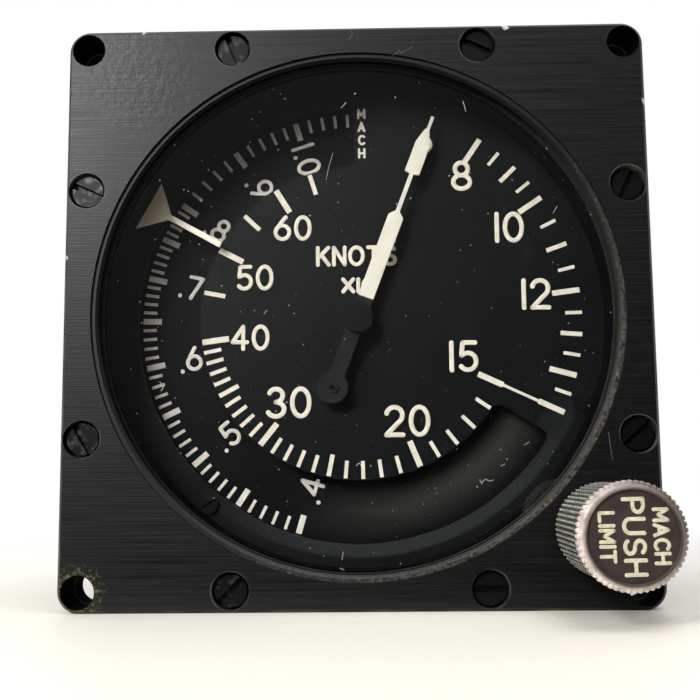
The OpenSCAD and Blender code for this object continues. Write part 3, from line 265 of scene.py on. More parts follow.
table, shader, place = finish("white_laminate", "#fbf7ec", 0.55)
away = distance(place)
fade = span(away, CREAM_TO, WHITE_FROM)
tree = table.node_tree
rays = add("ShaderNodeLightPath", tree=tree).node.outputs
mirrored = calc("MAXIMUM", rays["Is Glossy Ray"], rays["Is Transmission Ray"])
looks = calc("MAXIMUM", rays["Is Camera Ray"], mirrored)
blend = calc("MULTIPLY", fade, looks)
white = add("ShaderNodeEmission", {"Color": colour(WHITE), "Strength": WALL_BACK}, tree=tree)
both = add("ShaderNodeMixShader", {0: blend, 1: shader.outputs[0], 2: white})
depth = along(place, INWARD)
in_front = span(depth, MIRROR_TO, MIRROR_FROM)
gone = calc("MULTIPLY", in_front, mirrored)
dark = add("ShaderNodeEmission", {"Color": colour(WHITE), "Strength": WALL_FRONT}, tree=tree)
both = add("ShaderNodeMixShader", {0: gone, 1: both, 2: dark})
feed(tree.nodes["Material Output"], "Surface", both)
mesh.materials.append(table)
print("table height in mm:", round(table_z / MM, 2))

# %% [markdown]
# ## Two lamps
# One square lamp stands in front at the upper left, as a window would. A larger and weaker one hangs above
# the table. Both are turned towards the middle of the dial.

# %% Lamps
WINDOW_LAMP_AT, TABLE_LAMP_AT = (-0.311, -0.47, 0.287), (0.10, -0.20, 0.55)


def lamp(name, place_at, size, power):
    """A square lamp at a place, turned towards the middle of the dial."""
    data = bpy.data.lights.new(name, "AREA")
    data.size = size
    data.energy = power
    obj = bpy.data.objects.new(name, data)
    scene.collection.objects.link(obj)
    turn = (-Vector(place_at)).to_track_quat("-Z", "Y")
    obj.matrix_world = Matrix.Translation(place_at) @ turn.to_matrix().to_4x4()
    print("lamp", name, "at", place_at)


lamp("window_lamp", WINDOW_LAMP_AT, size=0.2, power=3.4)
lamp("table_lamp", TABLE_LAMP_AT, size=0.4, power=1.5)

# %% [markdown]
# ## Holes through the bezel and the case
# The bores of the four panel holes catch almost no light. A mask finds them from the folded place, and a
# helper paints shade there: rough, black and without shine. The bezel and the flange of the case both use it.

# %% Painted shade in the bores
HOLE_OUT, HOLE_R = 38.45 * MM, 2.3 * MM
# Painted shade for the bores: black, very rough and without shine.
BORE_SHADE_BLACK, BORE_ROUGH, BORE_SHINE, PLAIN_SHINE = "#050505", 0.95, 0.03, 0.5


def in_holes(corner):
    """One inside the four panel holes and zero elsewhere, from a folded place."""
    gap = distance(corner, (HOLE_OUT, 0, HOLE_OUT))
    return span(gap, HOLE_R + 0.03 * MM, HOLE_R + 0.1 * MM, 1, 0)


def blacken(shader, mask, shade, roughness):
    """Gives a shader its colour and roughness, with painted shade, rough and black, where the mask is one."""
    feed(shader, "Base Color", mixed(mask, shade, BORE_SHADE_BLACK))
    feed(shader, "Roughness", span(mask, start=roughness, end=BORE_ROUGH))
    feed(shader, "Specular IOR Level", span(mask, start=PLAIN_SHINE, end=BORE_SHINE))


# %% [markdown]
# ## Black anodised aluminium
# The bezel is milled aluminium, brushed from side to side and anodised black. Years of handling have rubbed
# its edges grey. The grey rings round its screw holes and panel holes are partly that wear and partly painted
# highlight, where their edges catch the light. Noise that is stretched along X gives the brush, and broad
# noise leaves the rubbing in patches.

# %% Bezel brush and rubbed edges
SCREW_ALONG, SCREW_OUT, SINK_R = 17.63 * MM, 38.36 * MM, 2.58 * MM
WORN_AND_LIT_RIMS = [(SCREW_ALONG, SCREW_OUT, SINK_R), (SCREW_OUT, SCREW_ALONG, SINK_R), (HOLE_OUT, HOLE_OUT, HOLE_R)]
BEZEL_HALF, BEZEL_Y = 41.275 * MM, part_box("bezel")[0].y
BRUSH_LINE, BRUSH_RUN, BLOTCH = 0.22 * MM, 18 * MM, 6 * MM
bezel_black, shader, place = finish("black_anodised_aluminium", "#080809", 0.48)
stretch = (1 / BRUSH_RUN, 1 / BRUSH_RUN, 1 / BRUSH_LINE)
lines = add("ShaderNodeMapping", {"Vector": place, "Scale": stretch})
brush = noise(lines, 1, 3)
corner = folded(place)
outer = calc("MAXIMUM", along(corner, RIGHT), along(corner, UP))
rubbed = span(outer, BEZEL_HALF - 0.45 * MM, BEZEL_HALF - 0.05 * MM)
deep = along(place, INWARD)
edge = span(deep, BEZEL_Y + 0.2 * MM, BEZEL_Y + 0.7 * MM, 1, 0)
rubbed = calc("MULTIPLY", rubbed, edge)
# Grey rings round the holes: partly wear, partly painted highlight on their edges.
for x, z, radius in WORN_AND_LIT_RIMS:
    gap = distance(corner, (x, 0, z))
    rim = span(off_by(gap, radius), 0.02 * MM, 0.22 * MM, 1, 0)
    rubbed = calc("MAXIMUM", rubbed, rim)
worn = span(noise(place, BLOTCH, 5), 0.42, 0.66)
rubbed = calc("MULTIPLY", rubbed, worn)
streaks = span(brush, 0.3, 0.7)
shade = mixed(streaks, "#050505", "#0b0b0c")
shade = mixed(rubbed, shade, "#55534e")

# %% [markdown]
# ## Chips and crust on the bezel
# A few knocks on the edges went through to bright metal, and an ochre crust sits round the lower left hole.
# Fine grit makes the outlines of both ragged.

# %% Bezel chips and crust
CHIPS = [((21.7, 41.1), 0.55), ((41.2, 29.6), 0.5), ((-30.5, 41.2), 0.35), ((-41.2, 8.0), 0.35)]
CHIP_RAGGED, GRIT = 0.9 * MM, 0.5 * MM
CRUST_FULL, CRUST_END, CRUST_MOST = 2.4 * MM, 4.2 * MM, 0.75
grit = noise(place, GRIT, 4)
ragged = calc("MULTIPLY", grit, CHIP_RAGGED)
for (x, z), size in CHIPS:
    gap = distance(place, (x * MM, 0, z * MM))
    gap = calc("ADD", gap, ragged)
    chip = span(gap, (size + 0.35) * MM, (size + 0.55) * MM, 1, 0)
    shade = mixed(chip, shade, "#c3bfb4")
gap = distance(place, (-HOLE_OUT, 0, -HOLE_OUT))
crust = span(gap, CRUST_FULL, CRUST_END, CRUST_MOST, 0)
crust = calc("MULTIPLY", crust, span(grit, 0.5, 0.62))
shade = mixed(crust, shade, "#6f6c3f")
print("chips:", len(CHIPS))

# %% [markdown]
# ## Shine and dents of the bezel
# The brush decides the roughness and raises fine ridges. Dents lie over them, most of all at the upper
# left, which took the knocks. The bores and the lip inside the glass ring get painted shade: black and dull.

# %% Bezel shine and dents
RING_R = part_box("glass_retaining_ring")[1].x
PITS_AT, PITS_R, PIT, PITS_ELSEWHERE = (-31 * MM, 0, 34 * MM), 11 * MM, 1 * MM, 0.15
# Painted shade on the bores and on the lip inside the glass ring.
lip = span(distance(corner), RING_R - 0.05 * MM, RING_R - 0.15 * MM)
shaded_bores = calc("MAXIMUM", in_holes(corner), lip)
roughness = span(brush, 0.3, 0.7, 0.34, 0.5)
blacken(shader, shaded_bores, shade, roughness)
ridge = bump(brush, 0.7, 0.03 * MM)
gap = distance(place, PITS_AT)
knocked = span(gap, 0.3 * PITS_R, PITS_R, 1, PITS_ELSEWHERE)
dent = calc("MULTIPLY", noise(place, PIT, 4), knocked)
dented = bump(dent, 0.25, 0.2 * MM, Normal=ridge)
feed(shader, "Normal", dented)
print("steps in the bezel's recipe:", len(bezel_black.node_tree.nodes))

# %% [markdown]
# ## Blackened steel screws
# The screws are steel with a black oxide coat, rubbed off in patches where grey shows. The grey is painted
# stronger towards the left. Noise decides where, and the place's own X says how much.

# %% Screw finish
GREY_SIDE_FROM, GREY_SIDE_TO = -35 * MM, 20 * MM
screw_black, shader, place = finish("black_oxide_steel", "#1e1e20", 0.38, 0.55)
patch = noise(place, 1.1 * MM, 6)
side = along(place, RIGHT)
least = span(side, GREY_SIDE_FROM, GREY_SIDE_TO, 0.5, 0.66)
most = calc("ADD", least, 0.2)
worn = span(patch, least, most)
shade = mixed(worn, "#121213", "#4c4b48")
feed(shader, "Base Color", shade)

# %% [markdown]
# ## Dusty retaining ring
# A ring holds the glass. It is black, and dust has settled on its lower right, with ochre specks of old
# sealing compound. Fine noise gives the dust, a direction says where it lies, and cells give the specks.

# %% Retaining ring finish
SETTLE_WAY, SETTLE_FROM, SETTLE_FULL = (0.75, 0, -0.66), 6 * MM, 36 * MM
SPECK_GAP = 1.3 * MM
ring_grey, shader, place = finish("dusty_grey_enamel", "#3b3831", 0.5)
low_right = along(place, SETTLE_WAY)
settled = span(low_right, SETTLE_FROM, SETTLE_FULL, 0.04, 1)
outside = span(distance(front_only(place)), RING_R - 0.85 * MM, RING_R - 0.5 * MM, 0.1, 1)
settled = calc("MULTIPLY", settled, outside)
dust = span(noise(place, 0.5 * MM, 5), 0.35, 0.65)
dust = calc("MULTIPLY", dust, settled)
cells = add("ShaderNodeTexVoronoi", {"Vector": place, "Scale": 1 / SPECK_GAP}, "Distance")
speck = span(cells, 0.12, 0.2, 1, 0)
speck = calc("MULTIPLY", speck, settled)
shade = mixed(dust, "#0a0a0a", "#5a574e")
shade = mixed(speck, shade, "#7d6b45")
feed(shader, "Base Color", shade)

# %% [markdown]
# ## Matte dial paints
# The dial and the disc behind it are aluminium sheet in a dead matte black, slightly blue, so that nothing
# shines in the pilot's eyes. A faint cloudiness keeps the paint from looking like a flat fill. A lighter band
# low on the dial's rim and on the disc is painted sheen, standing in for a soft reflection of light. The
# marks are filled with cream paint, and on the recessed disc with a greyer copy of it, which is painted
# shade.

# %% Dial paints
# Painted sheen: lighter rings low on the dial's rim and on the disc, standing in for a soft reflection.
DIAL_PAINTED_SHEEN = {"way": (0.3, 0, -0.95), "start": 18 * MM, "full": 31 * MM, "ring": 32.6 * MM,
             "half": 2.4 * MM, "soft": 0.4 * MM, "tone": "#262829"}
DISC_PAINTED_SHEEN = {"way": (0.7, 0, -0.71), "start": 13 * MM, "full": 26 * MM, "ring": 28 * MM,
             "half": 4.3 * MM, "soft": 4 * MM, "tone": "#2f302b"}


def matte_paint(name, low, high, roughness, cloud, shine=0.09, sheen_ring=None):
    """A paint with little shine, whose colour drifts between two near shades in clouds of the given size.
    A sheen ring is painted sheen, a lighter ring round the axis that grows along a direction from start to
    full."""
    mat, shader, place = finish(name, low, roughness)
    shader.inputs["Specular IOR Level"].default_value = shine
    drift = span(noise(place, cloud, 6), 0.3, 0.7)
    shade = mixed(drift, low, high)
    # Painted sheen, standing in for a soft reflection of light.
    if sheen_ring:
        painted_sheen = span(along(place, sheen_ring["way"]), sheen_ring["start"], sheen_ring["full"])
        off = off_by(distance(front_only(place)), sheen_ring["ring"])
        band = span(off, sheen_ring["half"], sheen_ring["half"] - sheen_ring["soft"])
        painted_sheen = calc("MULTIPLY", painted_sheen, band)
        shade = mixed(painted_sheen, shade, sheen_ring["tone"])
    feed(shader, "Base Color", shade)
    return mat


# The last argument is the painted sheen of the dial and of the disc.
dial_black = matte_paint("matte_black_dial_paint", "#090a0b", "#0e0f10", 0.42, 7 * MM, 0.12, DIAL_PAINTED_SHEEN)
disc_black = matte_paint("matte_black_disc_paint", "#08090a", "#0d0e0f", 0.45, 7 * MM, 0.06, DISC_PAINTED_SHEEN)
print_cream = matte_paint("cream_filling_paint", "#cdc6b3", "#dad3c1", 0.6, 0.8 * MM)
# A greyer copy of the cream: painted shade for the marks on the recessed disc.
print_shade_grey = matte_paint("shade_greyed_filling_paint", "#c9c3b6", "#d6d0c3", 0.6, 0.8 * MM)
legend_cream = matte_paint("worn_legend_paint", "#bab497", "#dbd6bc", 0.55, 0.7 * MM)
hub_black = matte_paint("black_hub_enamel", "#0b0b0c", "#101011", 0.5, 2 * MM)

# %% [markdown]
# ## Two-colour pointer and tan index
# The pointer's blade is cream where it is read, and black at the hub and tail so that the eye skips them.
# The index at the rim is tan, and its line grows paler towards the middle. Both are one solid each, so the
# colour changes along a direction: the dot product of the place with a unit vector says how far out a point
# lies.

# %% Pointer and index finishes
POINTER_CLOCK, CREAM_FROM, CREAM_EDGE = math.radians(20.8), 3.3 * MM, 0.05 * MM
INDEX_CLOCK, TAN_FROM, PALE_TO = math.radians(299.2), 33.4 * MM, 31 * MM


def outward(place, clock):
    """How far out from the dial's axis a point lies, along a clock direction."""
    return along(place, (math.sin(clock), 0, math.cos(clock)))


pointer_paint, shader, place = finish("pointer_enamel", "#e9e6d6", 0.5)
shader.inputs["Specular IOR Level"].default_value = 0.2
far = outward(place, POINTER_CLOCK)
pale = span(far, CREAM_FROM - CREAM_EDGE, CREAM_FROM + CREAM_EDGE)
cream = mixed(noise(place, 2 * MM, 4), "#c7c3b1", "#d6d2c3")
shade = mixed(pale, "#0d0d0d", cream)
feed(shader, "Base Color", shade)

index_paint, shader, place = finish("tan_index_enamel", "#d6ccb1", 0.45)
far = outward(place, INDEX_CLOCK)
pale = span(far, TAN_FROM, PALE_TO)
tan = mixed(noise(place, 1.5 * MM, 4), "#e8dab3", "#f5e8c6")
shade = mixed(pale, tan, "#e2dac6")
feed(shader, "Base Color", shade)

# %% [markdown]
# ## Window glass
# The window is a flat disc of clear glass. Real glass lets lamp light through to the dial, but a path
# tracer stops lamp rays at a bending surface, so lamp rays meet a clear shader instead. Sight and
# reflections stay true.

# %% Glass
GLASS_IOR = 1.5
window_glass, shader, place = finish("clear_window_glass", "#fdfdfd", 0.0)
shader.inputs["Transmission Weight"].default_value = 1.0
shader.inputs["IOR"].default_value = GLASS_IOR
tree = window_glass.node_tree
lamp_ray = add("ShaderNodeLightPath", out="Is Shadow Ray", tree=tree)
clear = add("ShaderNodeBsdfTransparent", tree=tree)
both = add("ShaderNodeMixShader", {0: lamp_ray, 1: shader.outputs[0], 2: clear})
feed(tree.nodes["Material Output"], "Surface", both)

# %% [markdown]
# ## Case paint and rubber
# The case has a satin black stoving paint with a fine skin and some scuffs, and painted shade in the bores of
# its flange. The seals are plain rubber.

# %% Case and rubber finishes
SKIN, SCUFF, CASE_ROUGH = 0.45 * MM, 9 * MM, 0.45
case_paint, shader, place = finish("satin_black_stoving_paint", "#1d1d1f", CASE_ROUGH)
scuffed = span(noise(place, SCUFF, 7), 0.55, 0.75)
shade = mixed(scuffed, "#1b1b1d", "#2d2d2e")
# Painted shade in the bores of the flange.
blacken(shader, in_holes(folded(place)), shade, CASE_ROUGH)
skin = bump(noise(place, SKIN, 3), 0.25, 0.03 * MM)
feed(shader, "Normal", skin)

seal_rubber, shader, place = finish("black_rubber", "#121212", 0.8)
shade = mixed(noise(place, 0.4 * MM, 4), "#0e0e0e", "#1a1a19")
feed(shader, "Base Color", shade)

# %% [markdown]
# ## Machined metals
# The movement is turned and milled brass, steel and bronze. Turned parts carry fine tool rings round their
# axis, drawn here as noise that changes quickly with the depth and slowly across it.

# %% Metal finishes
TOOL_ACROSS = 60


def machined_metal(name, low, high, roughness, ring_gap):
    """A machined metal with fine tool rings across its depth, drawn coarser than life so that they show."""
    mat, shader, place = finish(name, low, roughness, 1.0)
    stretch = (TOOL_ACROSS, 1 / ring_gap, TOOL_ACROSS)
    rings = add("ShaderNodeMapping", {"Vector": place, "Scale": stretch})
    tool = noise(rings, 1, 3)
    shade = mixed(noise(place, 4 * MM, 5), low, high)
    feed(shader, "Base Color", shade)
    dull = span(tool, start=roughness - 0.08, end=roughness + 0.12)
    feed(shader, "Roughness", dull)
    feed(shader, "Normal", bump(tool, 0.2, 0.02 * MM))
    return mat


METALS = {
    "movement_brass": ("turned_brass", "#a88a49", "#c7ab66", 0.32, 0.3 * MM),
    "movement_steel": ("turned_steel", "#8f9093", "#b3b4b6", 0.3, 0.3 * MM),
    "capsule_bronze": ("pressed_bronze", "#a2693f", "#bd8457", 0.35, 0.5 * MM),
    "union_alloy": ("machined_aluminium", "#9b9c9e", "#bdbebf", 0.36, 0.4 * MM),
    "cover_steel": ("zinc_plated_steel", "#77787a", "#96979a", 0.36, 0.4 * MM)}
metals = {slot: machined_metal(*row) for slot, row in METALS.items()}
friction_fibre = matte_paint("pressed_friction_fibre", "#5d4231", "#73543f", 0.85, 0.6 * MM)

# %% [markdown]
# ## Dress the solids
# Each solid already names a finish in its record. A table from those names to the materials above dresses
# them all; a material goes into the object's slots, and no solid is moved or reshaped.

# %% Put the finishes on the solids
FINISHES = {
    **metals, "bezel_black": bezel_black, "case_black": case_paint, "screw_black": screw_black,
    "retainer_grey": ring_grey, "window_glass": window_glass, "seal_rubber": seal_rubber,
    "dial_black": dial_black, "disc_black": disc_black, "pointer_cream": pointer_paint,
    "index_tan": index_paint, "friction_brown": friction_fibre}
for row in frame["record"]["subparts"]:
    solid = frame["nodes"][row["node"]]
    if row["material_slot"] in FINISHES:
        solid.data.materials.clear()
        solid.data.materials.append(FINISHES[row["material_slot"]])
for node in ("pointer_hub", "dial_screws"):
    frame["nodes"][node].data.materials[0] = hub_black
print("finishes:", len(FINISHES))

# %% [markdown]
# ## Geometry Nodes in a script
# A tree is built once and run on a small input mesh. Its inputs have names, and the modifier takes their
# values by the sockets' identifiers. The evaluated result becomes a plain mesh, so nothing live is left
# behind.

# %% Helpers for Geometry Nodes


def new_tree(name, inputs):
    """An empty geometry tree with a geometry input and output and the named inputs."""
    tree = bpy.data.node_groups.new(name, "GeometryNodeTree")
    tree.interface.new_socket("Geometry", in_out="INPUT", socket_type="NodeSocketGeometry")
    tree.interface.new_socket("Geometry", in_out="OUTPUT", socket_type="NodeSocketGeometry")
    for label, kind in inputs.items():
        tree.interface.new_socket(label, in_out="INPUT", socket_type="NodeSocket" + kind)
    return tree, tree.nodes.new("NodeGroupInput").outputs


def close_tree(shape, material):
    """Ends a tree: real meshes instead of instances, with their material."""
    real = add("GeometryNodeRealizeInstances", {"Geometry": shape})
    done = add("GeometryNodeSetMaterial", {"Geometry": real, "Material": material})
    add("NodeGroupOutput", {0: done})


def on_points(points, shape, **more):
    """Puts a shape on every point. Further sockets can turn it, scale it or leave points out."""
    return add("GeometryNodeInstanceOnPoints", {"Points": points, "Instance": shape, **more})


def run_tree(name, mesh, tree, values):
    """Runs a tree on a mesh and returns a plain mesh object at the origin."""
    source = bpy.data.objects.new(name + "_input", mesh)
    scene.collection.objects.link(source)
    modifier = source.modifiers.new("shape", "NODES")
    modifier.node_group = tree
    for item in tree.interface.items_tree:
        if item.item_type == "SOCKET" and item.in_out == "INPUT" and item.name in values:
            modifier[item.identifier] = values[item.name]
    ready = source.evaluated_get(bpy.context.evaluated_depsgraph_get())
    made = bpy.data.objects.new(name, bpy.data.meshes.new_from_object(ready))
    scene.collection.objects.link(made)
    bpy.data.objects.remove(source)
    print(name, "faces:", len(made.data.polygons))
    return made


# %% [markdown]
# ## Scale marks
# The airspeed scale is close to logarithmic, so the marks crowd together as the speed rises. Each table row
# is a reading and its clock angle in degrees. A mark is a clock angle, an inner and an outer radius, and a
# width, in degrees and mm. The longest kind of mark comes first in each list of kinds.

# %% Scale tables
KNOTS_SCALE = [(6, 19.5), (8, 34.25), (10, 56.5), (12, 82.75), (15, 115), (20, 157.75), (25, 191.25),
               (30, 218.5), (35, 241.75), (40, 262.5), (45, 281), (50, 297.75), (55, 313.5), (60, 328.5),
               (65, 342.25)]
DISC_SCALE = [(0.4, 196.3), (0.5, 229.5), (0.6, 258.3), (0.7, 282.8), (0.8, 304.7), (0.9, 325), (1, 343.2),
              (1.08, 357.5)]
OUTER_R, OUTER_KINDS = 33.3, [(29.2, 0.8), (30.1, 0.65), (30.8, 0.5)]
INNER_R, INNER_KINDS = 23.5, [(19.5, 0.85), (20.3, 0.65), (20.9, 0.55)]
DISC_R, DISC_KINDS = 32.8, [(30, 0.87), (30.75, 0.46)]
JOIN_AT, JOIN_LINE_W = 15, 0.4


def scale_clock(value, scale):
    """The clock angle of a reading, between the rows of its scale."""
    for (low, a), (high, b) in zip(scale, scale[1:]):
        if value <= high + 1e-9:
            return a + (b - a) * math.log(value / low) / math.log(high / low)


def mark(clock, kind, outer):
    """A mark of one kind (its inner radius and its width) at a clock angle, out to a radius."""
    inner, width = kind
    return clock, inner, outer, width


dial_marks = []
for half in range(16, 30):
    kind = 2 if half % 2 else (0 if half % 4 == 0 else 1)
    dial_marks.append(mark(scale_clock(half / 2, KNOTS_SCALE), OUTER_KINDS[kind], OUTER_R))
for value in list(range(16, 40)) + list(range(40, 66, 5)):
    kind = 0 if value % 10 == 0 else 1 if value % 5 == 0 else 2
    dial_marks.append(mark(scale_clock(value, KNOTS_SCALE), INNER_KINDS[kind], INNER_R))
join = scale_clock(JOIN_AT, KNOTS_SCALE)
dial_marks += [mark(join, INNER_KINDS[0], INNER_R), mark(join, OUTER_KINDS[0], OUTER_R)]
dial_marks.append(mark(join, (INNER_R, JOIN_LINE_W), OUTER_KINDS[0][0]))
disc_marks = []
for value in list(range(40, 81)) + list(range(82, 109, 2)):
    kind = 0 if value % (5 if value <= 80 else 10) == 0 else 1
    disc_marks.append(mark(scale_clock(value / 100, DISC_SCALE), DISC_KINDS[kind], DISC_R))
print("marks:", len(dial_marks), "and", len(disc_marks))

# %% [markdown]
# ## Paint in the marks
# Each mark becomes a point that carries its turn, length and width, and one tree puts a bar on every point.
# The bars fill the grooves that the solids have for them and stand a hair proud, as paint does.

# %% The tree that puts a bar on every mark
PAINT_PROUD, GROOVE = 0.012 * MM, 0.12 * MM
mark_tree, given = new_tree("scale_marks", {"Paint depth": "Float", "Paint": "Material"})
turn, width, length = [
    add("GeometryNodeInputNamedAttribute", {"Name": label}, tree=mark_tree, data_type="FLOAT")
    for label in ("turn", "width", "length")]
bar = add("GeometryNodeMeshCube", {"Size": (1, 1, 1)}, tree=mark_tree)
angles = add("ShaderNodeCombineXYZ", {1: turn})
spin = add("FunctionNodeEulerToRotation", {0: angles})
size = add("ShaderNodeCombineXYZ", {0: width, 1: given["Paint depth"], 2: length})
bars = on_points(given["Geometry"], bar, Rotation=spin, Scale=size)
close_tree(bars, given["Paint"])


def print_marks(name, marks, face_y, paint, body):
    """Fills the marks of one scale with paint, on the face at depth face_y."""
    mesh = bpy.data.meshes.new(name)
    depth = GROOVE + PAINT_PROUD
    middle_y = face_y - PAINT_PROUD + depth / 2
    rows = [(math.radians(a), (lo + hi) / 2 * MM, (hi - lo) * MM, w * MM) for a, lo, hi, w in marks]
    mesh.from_pydata([(r * math.sin(a), middle_y, r * math.cos(a)) for a, r, _, _ in rows], [], [])
    for label, column in (("turn", 0), ("length", 2), ("width", 3)):
        values = [row[column] for row in rows]
        mesh.attributes.new(label, "FLOAT", "POINT").data.foreach_set("value", values)
    piece = run_tree(name, mesh, mark_tree, {"Paint depth": depth, "Paint": paint})
    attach(piece, body)


DIAL_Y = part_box("dial_plate")[0].y
DISC_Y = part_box("mach_disc")[0].y
print_marks("dial_marks", dial_marks, DIAL_Y, print_cream, "case")
# The disc's marks take the greyer copy of the cream, which is painted shade.
print_marks("disc_marks", disc_marks, DISC_Y, print_shade_grey, "mach_scale")

# %% [markdown]
# ## Engraved numbers
# Instrument numbers are cut with a round tool that follows a single line, so every stroke has the same
# width and round ends. Each sign is a few lines and arcs in a box one unit high.

# %% Signs as strokes
ARC_STEP, ARC_LEAST = 12, 6


def arc(x, y, rx, ry, start, end):
    """Points along an arc, by angle from the right, counter-clockwise."""
    steps = max(ARC_LEAST, round(abs(end - start) / ARC_STEP))
    turns = [math.radians(start + (end - start) * i / steps) for i in range(steps + 1)]
    return [(x + rx * math.cos(t), y + ry * math.sin(t)) for t in turns]


SIX = [[(0.46, 1), (0.28, 0.79), (0.13, 0.58), (0.04, 0.43), (0, 0.31)],
       arc(0.31, 0.31, 0.31, 0.31, 0, 360)]
SIGNS = {
    "0": [arc(0.31, 0.5, 0.31, 0.5, 0, 360)],
    "1": [[(0, 0), (0, 1)]],
    "2": [arc(0.3, 0.71, 0.29, 0.29, 165, -42) + [(0, 0), (0.6, 0)]],
    "3": [arc(0.29, 0.76, 0.25, 0.24, 155, -90), arc(0.29, 0.26, 0.3, 0.26, 90, -155)],
    "4": [[(0.47, 0), (0.47, 1), (0, 0.3), (0.64, 0.3)]],
    "5": [[(0.55, 1), (0.11, 1), (0.06, 0.54)] + arc(0.29, 0.31, 0.3, 0.31, 130, -145)],
    "6": SIX,
    "7": [[(0, 1), (0.58, 1), (0.2, 0)]],
    "8": [arc(0.31, 0.76, 0.24, 0.24, 0, 360), arc(0.31, 0.26, 0.31, 0.26, 0, 360)],
    "9": [[(0.62 - x, 1 - y) for x, y in stroke] for stroke in SIX],
    ".": [[(0, 0), (0, 0.02)]],
    "K": [[(0, 0), (0, 1)], [(0.6, 1), (0, 0.38)], [(0.2, 0.58), (0.62, 0)]],
    "N": [[(0, 0), (0, 1), (0.62, 0), (0.62, 1)]],
    "O": [arc(0.37, 0.5, 0.37, 0.5, 0, 360)],
    "T": [[(0, 1), (0.64, 1)], [(0.32, 1), (0.32, 0)]],
    "S": [arc(0.3, 0.75, 0.27, 0.25, 30, 270) + arc(0.3, 0.25, 0.29, 0.25, 90, -150)],
    "X": [[(0, 0), (0.6, 1)], [(0, 1), (0.6, 0)]],
    "M": [[(0, 0), (0, 1), (0.36, 0.3), (0.72, 1), (0.72, 0)]],
    "A": [[(0, 0), (0.34, 1), (0.68, 0)], [(0.12, 0.34), (0.56, 0.34)]],
    "C": [arc(0.36, 0.5, 0.36, 0.5, 48, 312)],
    "H": [[(0, 0), (0, 1)], [(0.62, 0), (0.62, 1)], [(0, 0.5), (0.62, 0.5)]],
    "P": [[(0, 0), (0, 1), (0.3, 1)] + arc(0.3, 0.74, 0.28, 0.26, 90, -90) + [(0, 0.48)]],
    "U": [[(0, 1), (0, 0.31)] + arc(0.31, 0.31, 0.31, 0.31, 180, 360) + [(0.62, 1)]],
    "L": [[(0, 1), (0, 0), (0.52, 0)]],
    "I": [[(0, 0), (0, 1)]]}
SIGN_GAP = 0.3


def written(text, centre, height, turn=0.0, width=None):
    """The strokes of a word about its centre (X, Z in mm), turned clockwise, maybe stretched to a width."""
    strokes, at = [], 0.0
    for sign in text:
        wide = max(x for stroke in SIGNS[sign] for x, _ in stroke)
        strokes += [[(at + x, z) for x, z in stroke] for stroke in SIGNS[sign]]
        at += wide + SIGN_GAP
    total = at - SIGN_GAP
    across = width / total if width else height
    c, s = math.cos(math.radians(turn)), math.sin(math.radians(turn))
    placed = []
    for stroke in strokes:
        flat = [((x - total / 2) * across, (z - 0.5) * height) for x, z in stroke]
        placed.append([(centre[0] + x * c + z * s, centre[1] - x * s + z * c) for x, z in flat])
    return placed


print("signs:", len(SIGNS))

# %% [markdown]
# ## Paint in the strokes
# One tree sweeps a round profile along the strokes, puts a ball on each end, and flattens the result to the
# thickness of paint. A stroke is cut at its sharp corners first, because a swept profile would pinch there.

# %% The tree that paints strokes
PAINT_SIDES, BALL_SIDES, BALL_RINGS = 8, 12, 6
stroke_tree, given = new_tree("painted_strokes", {
    "Stroke width": "Float", "Thickness": "Float", "Face depth": "Float", "Paint": "Material"})
radius = calc("MULTIPLY", given["Stroke width"], 0.5)
path = add("GeometryNodeMeshToCurve", {"Mesh": given["Geometry"]})
tool = add("GeometryNodeCurvePrimitiveCircle", {"Resolution": PAINT_SIDES, "Radius": radius})
swept = add("GeometryNodeCurveToMesh", {"Curve": path, "Profile Curve": tool, "Fill Caps": True})
ends = add("GeometryNodeCurveEndpointSelection", tree=stroke_tree)
ball = add("GeometryNodeMeshUVSphere", {"Segments": BALL_SIDES, "Rings": BALL_RINGS, "Radius": radius})
balls = on_points(path, ball, Selection=ends)
whole = add("GeometryNodeJoinGeometry", {0: swept})
feed(whole.node, 0, balls)
press = calc("DIVIDE", given["Thickness"], given["Stroke width"])
shift = add("ShaderNodeCombineXYZ", {1: given["Face depth"]})
squeeze = add("ShaderNodeCombineXYZ", {0: 1, 1: press, 2: 1})
laid = add("GeometryNodeTransform", {"Geometry": whole, "Translation": shift, "Scale": squeeze})
close_tree(laid, given["Paint"])

# %% Paint a list of strokes
SHARP_BEND = math.radians(30)
STROKE_T = 3 * PAINT_PROUD


def smooth_runs(stroke):
    """The stretches of a stroke between its sharp corners."""
    runs = [[stroke[0]]]
    for before, here, after in zip(stroke, stroke[1:], stroke[2:]):
        runs[-1].append(here)
        into, out_of = Vector(here) - Vector(before), Vector(after) - Vector(here)
        if into.angle(out_of, 0) > SHARP_BEND:
            runs.append([here])
    runs[-1].append(stroke[-1])
    return runs


def paint_strokes(name, strokes, stroke_w, face_y, paint, body):
    """Paints strokes (X, Z in mm) on a face that looks forwards at depth face_y."""
    points, edges = [], []
    for stroke in [run for stroke in strokes for run in smooth_runs(stroke)]:
        first = len(points)
        points += [(x * MM, 0, z * MM) for x, z in stroke]
        edges += [(i, i + 1) for i in range(first, len(points) - 1)]
    mesh = bpy.data.meshes.new(name)
    mesh.from_pydata(points, edges, [])
    piece = run_tree(name, mesh, stroke_tree, {
        "Stroke width": stroke_w * MM, "Thickness": STROKE_T, "Face depth": face_y, "Paint": paint})
    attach(piece, body)


# %% [markdown]
# ## Numbers and words of the dial
# Each number has its centre in mm, as measured in the photograph. The words have a height and a width as
# well.

